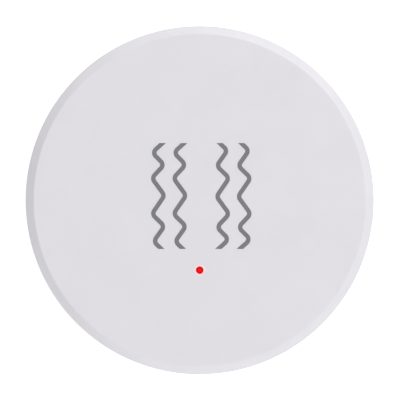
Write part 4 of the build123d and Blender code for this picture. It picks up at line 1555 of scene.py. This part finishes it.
class SENSORTAG_OT_packages(bpy.types.Operator):
    """Model the chips, crystals, antenna and bulk capacitor"""
    bl_idname = "sensor_tag.packages"
    bl_label = "Packages"

    edge: length("Edge", 0.00005, "Rounding of the packages' edges")
    dimple_radius: length("Dimple Radius", 0.00025, "Radius of the dimple at the first pad")
    dimple_depth: length("Dimple Depth", 0.00006, "Depth of the dimple at the first pad")
    dimple_inset: length("Dimple Inset", 0.00055, "Distance of the dimple from the edges")
    pad_pitch: length("Pad Pitch", 0.0005, "Distance from one pad of a chip to the next")
    pad_width: length("Pad Width", 0.00025, "Width of a chip's pad")
    pad_reach: length("Pad Reach", 0.00025, "How far the solder shows beside a chip")
    pad_height: length("Pad Height", 0.00018, "Height of the solder beside a chip")
    lid_inset: length("Lid Inset", 0.00015, "Distance of a crystal's lid from its tray's edge")
    lid_height: length("Lid Height", 0.0002, "Height of a crystal's lid")
    strap_width: length("Strap Width", 0.001, "Width of the bulk capacitor's end straps")
    stripe_share: number("Stripe Share", 0.2, "Part of the bulk capacitor that is striped")

    def execute(self, context):
        solder = bmesh.new()
        self.add_chips(solder)
        self.add_crystals(solder)
        self.add_antenna(solder)
        self.add_bulk_capacitor(solder)
        dress(solid_object("package_solder", solder), tinned(), "base", "spring_metal")
        return {"FINISHED"}

    def add_chips(self, solder):
        """The two chips, with a dimple at the first pad and solder along their sides."""
        mould = moulded("tag_chip_mould", colours().chip, spread=0.15, grain_size=0.00006,
                        grain_depth=0.0000025)
        for node in ("radio_chip", "accelerometer"):
            part = node_frames(node)[0]
            chip = shaped(node + "_moulded", add_filled, part._replace(bottom=part.bottom + SINK), self.edge)
            spot = part.place @ Vector((-part.length / 2 + self.dimple_inset,
                                        part.width / 2 - self.dimple_inset, 0))
            dimple = shaped("dimple", add_disc, spot, self.dimple_radius, part.top - self.dimple_depth,
                            part.top + OVERRUN)
            combine(chip, [dimple], "DIFFERENCE")
            dress(chip, mould, "base", "chip_mould", node)
            self.add_chip_solder(solder, part)

    def add_chip_solder(self, solder, part):
        """A row of fillets along each of a chip's four sides."""
        for quarter in range(4):
            turned = part.place @ Matrix.Rotation(quarter * math.pi / 2, 4, "Z")
            half, side = part.length / 2, part.width
            if quarter % 2:
                half, side = part.width / 2, part.length
            count = int((side - self.pad_width - 2 * self.pad_pitch) / self.pad_pitch) + 1
            for index in range(count):
                y = (index - (count - 1) / 2) * self.pad_pitch
                add_fillet(solder, turned, half, y, self.pad_reach, self.pad_width, part.bottom,
                           self.pad_height)

    def add_crystals(self, solder):
        """The crystals: a ceramic tray with a metal lid."""
        tray = ceramic("tag_crystal_tray", colours().tray)
        metal = plated("tag_crystal_lid", colours().lid)
        for node in ("radio_crystal", "clock_crystal"):
            part = node_frames(node)[0]
            lid_bottom = part.top - self.lid_height
            lower = shaped(node + "_tray", add_filled, part._replace(top=lid_bottom), self.edge)
            dress(lower, tray, "base", "crystal_lid", node)
            upper = shaped(node + "_cover", add_filled, part._replace(bottom=lid_bottom - SINK), self.edge,
                           self.lid_inset, self.lid_inset)
            dress(upper, metal, "base", "crystal_lid", node)
            self.add_end_solder(solder, part, width_share=0.8)

    def add_end_solder(self, solder, part, width_share, height_share=0.4):
        """A fillet at each end of a package."""
        for turn in (0, math.pi):
            add_fillet(solder, part.place @ Matrix.Rotation(turn, 4, "Z"), part.length / 2, 0, self.pad_reach,
                       part.width * width_share, part.bottom, (part.top - part.bottom) * height_share)

    def add_antenna(self, solder):
        """The antenna: a ceramic block with metal end caps and a printed line."""
        part = node_frames("chip_antenna")[0]
        half_length = part.length / 2
        cap = part.length * ANTENNA_CAP_SHARE
        under_line = part._replace(top=part.top - SINK / 2)
        block = shaped("antenna_block", add_filled, under_line, self.edge, cap)
        dress(block, ceramic("tag_antenna", colours().antenna, roughness=0.25), "base", "antenna_ceramic",
              "chip_antenna")
        bm = bmesh.new()
        add_end_blocks(bm, under_line, half_length, half_length - cap, part.width, self.edge)
        path = bmesh.new()
        step = 2 * (half_length - cap) / (2 * MEANDER_TURNS)
        corners = [part.place @ Vector((x, y, part.top - SINK)) for x, y in self.meander(part, cap, step)]
        rounded_path(path, [(corner, 0) for corner in corners])
        line = sheet("meander", path, (0, 0, SINK), step * MEANDER_LINE)
        bm.from_mesh(line.data)
        bpy.data.objects.remove(line)
        dress(solid_object("antenna_metal", bm), tinned(), "base", "antenna_ceramic", "chip_antenna")
        self.add_end_solder(solder, part, width_share=0.9)

    def meander(self, part, cap, step):
        """Corners of the antenna's printed line, from one end cap to the other."""
        reach = part.width / 2 * MEANDER_REACH
        points = []
        for index in range(2 * MEANDER_TURNS + 1):
            x = -(part.length / 2) + cap + index * step
            side = 1 if index % 2 else -1
            if index > 0:
                points.append((x, side * reach))
            if index < 2 * MEANDER_TURNS:
                points.append((x, -side * reach))
        return points

    def add_bulk_capacitor(self, solder):
        """The bulk capacitor, with its stripe and its end straps."""
        part = node_frames("bulk_capacitor")[0]
        half_length = part.length / 2
        bm = bmesh.new()
        add_filled(bm, part._replace(bottom=part.bottom + SINK), 2 * self.edge)
        stripe_at = part.place @ Vector((half_length - part.length * self.stripe_share, 0, 0))
        along = part.place.to_3x3() @ Vector((1, 0, 0))
        bmesh.ops.bisect_plane(bm, geom=bm.verts[:] + bm.edges[:] + bm.faces[:], dist=MERGE_DISTANCE,
                               plane_co=stripe_at, plane_no=along)
        case = moulded("tag_bulk_capacitor", colours().bulk, roughness=0.45, spread=0.08)
        body = dress(solid_object("bulk_capacitor_case", bm), case, "base", "capacitor_yellow",
                     "bulk_capacitor")
        stripe = finished("tag_stripe", colours().stripe, roughness=0.5, mottled=(0.15, 0.0002))
        paint(body, stripe, lambda face: (face.center - stripe_at).dot(along) > 0
              and face.normal.z > LEVEL_NORMAL)
        strap_top = part.bottom + (part.top - part.bottom) * STRAP_SHARE
        straps = shaped("bulk_capacitor_straps", add_end_blocks, part._replace(top=strap_top),
                        half_length - SINK, half_length + 2 * SINK, self.strap_width, SINK / 2)
        dress(straps, tinned(), "base", "spring_metal")
        self.add_end_solder(solder, part, width_share=0.7, height_share=0.25)


def add_section(bm, place, section, y_low, y_high):
    """A solid whose section is a list of X and Z, drawn out along Y."""
    part = bmesh.new()
    face = part.faces.new([part.verts.new((x, y_low, z)) for x, z in section])
    swept = bmesh.ops.extrude_face_region(part, geom=[face])
    far = [item for item in swept["geom"] if isinstance(item, bmesh.types.BMVert)]
    bmesh.ops.translate(part, verts=far, vec=(0, y_high - y_low, 0))
    bmesh.ops.transform(part, matrix=place, verts=part.verts[:])
    bmesh.ops.recalc_face_normals(part, faces=part.faces[:])
    append(bm, part)


# How much wider than a small part its solder is
SOLDER_SPREAD = 1.1
# The hollow curve of a solder fillet, in shares of its reach and of its height
FILLET_CURVE = ((1, 0.08), (0.45, 0.3), (0.15, 0.65), (0, 1))


def add_fillet(bm, place, start, y, reach, width, bottom, height):
    """A hollow-curved solder fillet that leans on an end face at X = start."""
    curve = [(start + reach * along, bottom + height * up) for along, up in FILLET_CURVE]
    section = [(start - SINK, bottom), (start + reach, bottom)] + curve + [(start - SINK, bottom + height)]
    add_section(bm, place, section, y - width / 2, y + width / 2)


class SENSORTAG_OT_small_parts(bpy.types.Operator):
    """Model the small capacitors, resistors and inductors, their solder, and the test pads"""
    bl_idname = "sensor_tag.small_parts"
    bl_label = "Small Parts and Test Pads"

    edge: length("Edge", 0.00004, "Rounding of the parts' edges")
    skin: length("Skin", 0.00002, "How far the tinned ends stand out")
    end_share: number("End Share", 0.25, "Part of the length that each tinned end covers")
    solder_reach: length("Solder Reach", 0.0003, "How far the solder reaches out")
    solder_share: number("Solder Share", 0.75, "Part of the height that the solder climbs")

    def execute(self, context):
        solder = bmesh.new()
        finishes = {
            "ceramic_capacitors": ceramic("tag_capacitor", colours().capacitor, roughness=0.4),
            "chip_resistors": ceramic("tag_resistor", colours().resistor, roughness=0.25),
            "chip_inductors": ceramic("tag_inductor", colours().inductor),
        }
        for node, node_slot in TWO_ENDED_NODES.items():
            bodies, ends = bmesh.new(), bmesh.new()
            for part in node_frames(node):
                self.add_part(part, bodies, ends, solder)
            dress(solid_object(node + "_bodies", bodies), finishes[node], "base", node_slot, node)
            dress(solid_object(node + "_ends", ends), tinned(), "base", node_slot, node)
        dress(solid_object("small_part_solder", solder), tinned(), "base", "spring_metal")
        bm = bmesh.new()
        for low, high in node_solids("test_pads"):
            add_disc(bm, (low + high) / 2, (high.x - low.x) / 2, low.z, high.z,
                     (high.z - low.z) * THIN_ROUNDING, SMALL_TURN_STEPS)
        dress(solid_object("test_pad_discs", bm), plated("tag_pad_gold", colours().gold, roughness=0.25),
              "base",
              "gold_plating", "test_pads")
        return {"FINISHED"}

    def add_part(self, part, bodies, ends, solder):
        """One small part: its body, its tinned ends and the solder at them."""
        half_length = part.length / 2
        end_length = part.length * self.end_share
        body = part._replace(bottom=part.bottom + self.skin, top=part.top - self.skin)
        add_filled(bodies, body, self.edge / 2, end_length, self.skin)
        add_end_blocks(ends, part, half_length, half_length - end_length, part.width, self.edge)
        for turn in (math.pi, 0):
            add_fillet(solder, part.place @ Matrix.Rotation(turn, 4, "Z"), half_length, 0, self.solder_reach,
                       part.width * SOLDER_SPREAD, part.bottom,
                       (part.top - part.bottom) * self.solder_share)


# The low softboxes and the side that each stands on, in degrees
SOFTBOX_ANGLES = {"right": 0, "top": 92, "bottom": 262}
# How many times nearer and farther than the tag the camera still sees
CLIP_SPAN = 100


class SENSORTAG_OT_stage(bpy.types.Operator):
    """Lay the floor and set up the sky, the softboxes and the camera of the photograph"""
    bl_idname = "sensor_tag.stage"
    bl_label = "Stage"

    floor_size: length("Floor Size", 1.6, "Side of the floor")
    floor_gap: length("Floor Gap", 0.00002, "Gap under the tag, so that no faces share a plane")
    softbox_size: length("Softbox Size", 0.24, "Side of each low softbox")
    softbox_distance: length("Softbox Distance", 0.25, "Distance of each low softbox from the tag")
    softbox_elevation: number("Softbox Elevation", 20, "Height of the low softboxes, in degrees")
    overhead_size: length("Overhead Size", 0.7, "Side of the softbox overhead")
    overhead_distance: length("Overhead Distance", 0.6, "Distance of the softbox overhead from the tag")
    overhead_elevation: number("Overhead Elevation", 68, "Height of the softbox overhead, in degrees")
    overhead_angle: number("Overhead Angle", 50, "Side that the softbox overhead stands on")
    floor_glow: number("Floor Glow", 0.5, "How much the camera sees the floor lifted to white")

    def execute(self, context):
        self.add_floor()
        self.add_sky(context.scene)
        for side, angle in SOFTBOX_ANGLES.items():
            self.add_softbox("softbox_" + side, getattr(lights(), side), self.softbox_size,
                             self.softbox_distance, angle, self.softbox_elevation)
        overhead = self.add_softbox("softbox_overhead", lights().overhead, self.overhead_size,
                                    self.overhead_distance, self.overhead_angle, self.overhead_elevation)
        overhead.visible_glossy = False
        self.add_camera(context.scene)
        context.scene.view_settings.view_transform = "Standard"
        return {"FINISHED"}

    def add_floor(self):
        """A pale floor, which the camera sees lifted to white."""
        bm = bmesh.new()
        bmesh.ops.create_grid(bm, x_segments=1, y_segments=1, size=self.floor_size / 2,
                              matrix=Matrix.Translation((0, 0, CAD_LOW.z - self.floor_gap)))
        floor = solid_object("floor", bm)
        material = finished("floor_paper", colours().floor, roughness=0.9, mottled=(0.004, 0.05),
                            Specular_IOR_Level=0.1)
        glow = add_node(material, "ShaderNodeMath", {"operation": "MULTIPLY"},
                        (seen_directly(material), self.floor_glow))
        set_inputs(material, Emission_Color=(1, 1, 1, 1), Emission_Strength=glow.outputs[0])
        floor.data.materials.append(material)

    def add_sky(self, scene):
        """A white background that is white to look at and lights the tag evenly from all round."""
        world = bpy.data.worlds.new("studio_sky")
        world.use_nodes = True
        scene.world = world
        background = world.node_tree.nodes["Background"]
        strength = add_node(world, "ShaderNodeMix", Factor=seen_directly(world), A=lights().sky, B=1.0)
        fill(world, background.inputs["Color"], (1, 1, 1, 1))
        fill(world, background.inputs["Strength"], strength.outputs["Result"])

    def add_softbox(self, name, power, side, distance, angle, elevation):
        """A square lamp that looks at the tag's face."""
        lamp = bpy.data.lights.new(name, "AREA")
        lamp.shape = "SQUARE"
        lamp.size = side
        lamp.energy = power
        softbox = bpy.data.objects.new(name, lamp)
        turn, lift = math.radians(angle), math.radians(elevation)
        away = Vector((math.cos(turn) * math.cos(lift), math.sin(turn) * math.cos(lift), math.sin(lift)))
        softbox.location = Vector((0, 0, CAD_HIGH.z)) + away * distance
        softbox.rotation_euler = away.to_track_quat("Z", "Y").to_euler()
        bpy.context.scene.collection.objects.link(softbox)
        return softbox

    def add_camera(self, scene):
        """Look straight down from afar, with the disc's outline where the photograph has it."""
        data = bpy.data.cameras.new("camera")
        data.lens = lights().lens
        camera = bpy.data.objects.new("camera", data)
        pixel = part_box("top_cover")[1].x / DISC_RADIUS
        seen_width = pixel * PHOTO_WIDTH
        distance = seen_width * data.lens / data.sensor_width
        middle_pixel = PHOTO_WIDTH / 2
        outline_height = CAD_HIGH.z - sizes().cap_chamfer
        camera.location = ((middle_pixel - DISC_CENTRE_X) * pixel, (DISC_CENTRE_Y - middle_pixel) * pixel,
                           outline_height + distance)
        data.clip_start = distance / CLIP_SPAN
        data.clip_end = distance * CLIP_SPAN
        scene.collection.objects.link(camera)
        scene.camera = camera


def seen_directly(owner):
    """1 where the camera, a reflection or a clear body sees a surface, and 0 where it only lights others."""
    path = add_node(owner, "ShaderNodeLightPath")
    total = path.outputs["Is Camera Ray"]
    for name in ("Is Glossy Ray", "Is Transmission Ray"):
        larger = add_node(owner, "ShaderNodeMath", {"operation": "MAXIMUM"}, (total, path.outputs[name]))
        total = larger.outputs[0]
    return total


class SENSORTAG_PT_panel(bpy.types.Panel):
    """Lists the tag's pieces in the sidebar"""
    bl_label = "Sensor Tag"
    bl_idname = "SENSORTAG_PT_panel"
    bl_space_type = "VIEW_3D"
    bl_region_type = "UI"
    bl_category = "Sensor Tag"

    def draw(self, context):
        for operator in PIECE_OPERATORS:
            self.layout.operator(operator.bl_idname)
        for group_name, group in GROUPS.items():
            box = self.layout.box()
            for name in group.__annotations__:
                box.prop(getattr(context.scene, group_name), name)


PIECE_OPERATORS = (
    SENSORTAG_OT_stage,
    SENSORTAG_OT_cap,
    SENSORTAG_OT_waves,
    SENSORTAG_OT_light_pipe,
    SENSORTAG_OT_base,
    SENSORTAG_OT_seals,
    SENSORTAG_OT_board,
    SENSORTAG_OT_screws,
    SENSORTAG_OT_cell,
    SENSORTAG_OT_holder,
    SENSORTAG_OT_lamp,
    SENSORTAG_OT_button,
    SENSORTAG_OT_packages,
    SENSORTAG_OT_small_parts,
)
GROUPS = {"tag_sizes": TagSizes, "tag_angles": TagAngles, "tag_colours": TagColours, "tag_lights": TagLights}


def register():
    """Register the settings, the operators and the panel."""
    for group in GROUPS.values():
        bpy.utils.register_class(group)
    for name, group in GROUPS.items():
        setattr(bpy.types.Scene, name, PointerProperty(type=group))
    for operator in PIECE_OPERATORS:
        bpy.utils.register_class(operator)
    bpy.utils.register_class(SENSORTAG_PT_panel)


def unregister():
    """Undo what register does."""
    bpy.utils.unregister_class(SENSORTAG_PT_panel)
    for operator in reversed(PIECE_OPERATORS):
        bpy.utils.unregister_class(operator)
    for name, group in GROUPS.items():
        delattr(bpy.types.Scene, name)
        bpy.utils.unregister_class(group)


def main():
    """Build the whole tag."""
    register()
    for operator in PIECE_OPERATORS:
        category, name = operator.bl_idname.split(".")
        getattr(getattr(bpy.ops, category), name)()


if __name__ == "__main__":
    main()
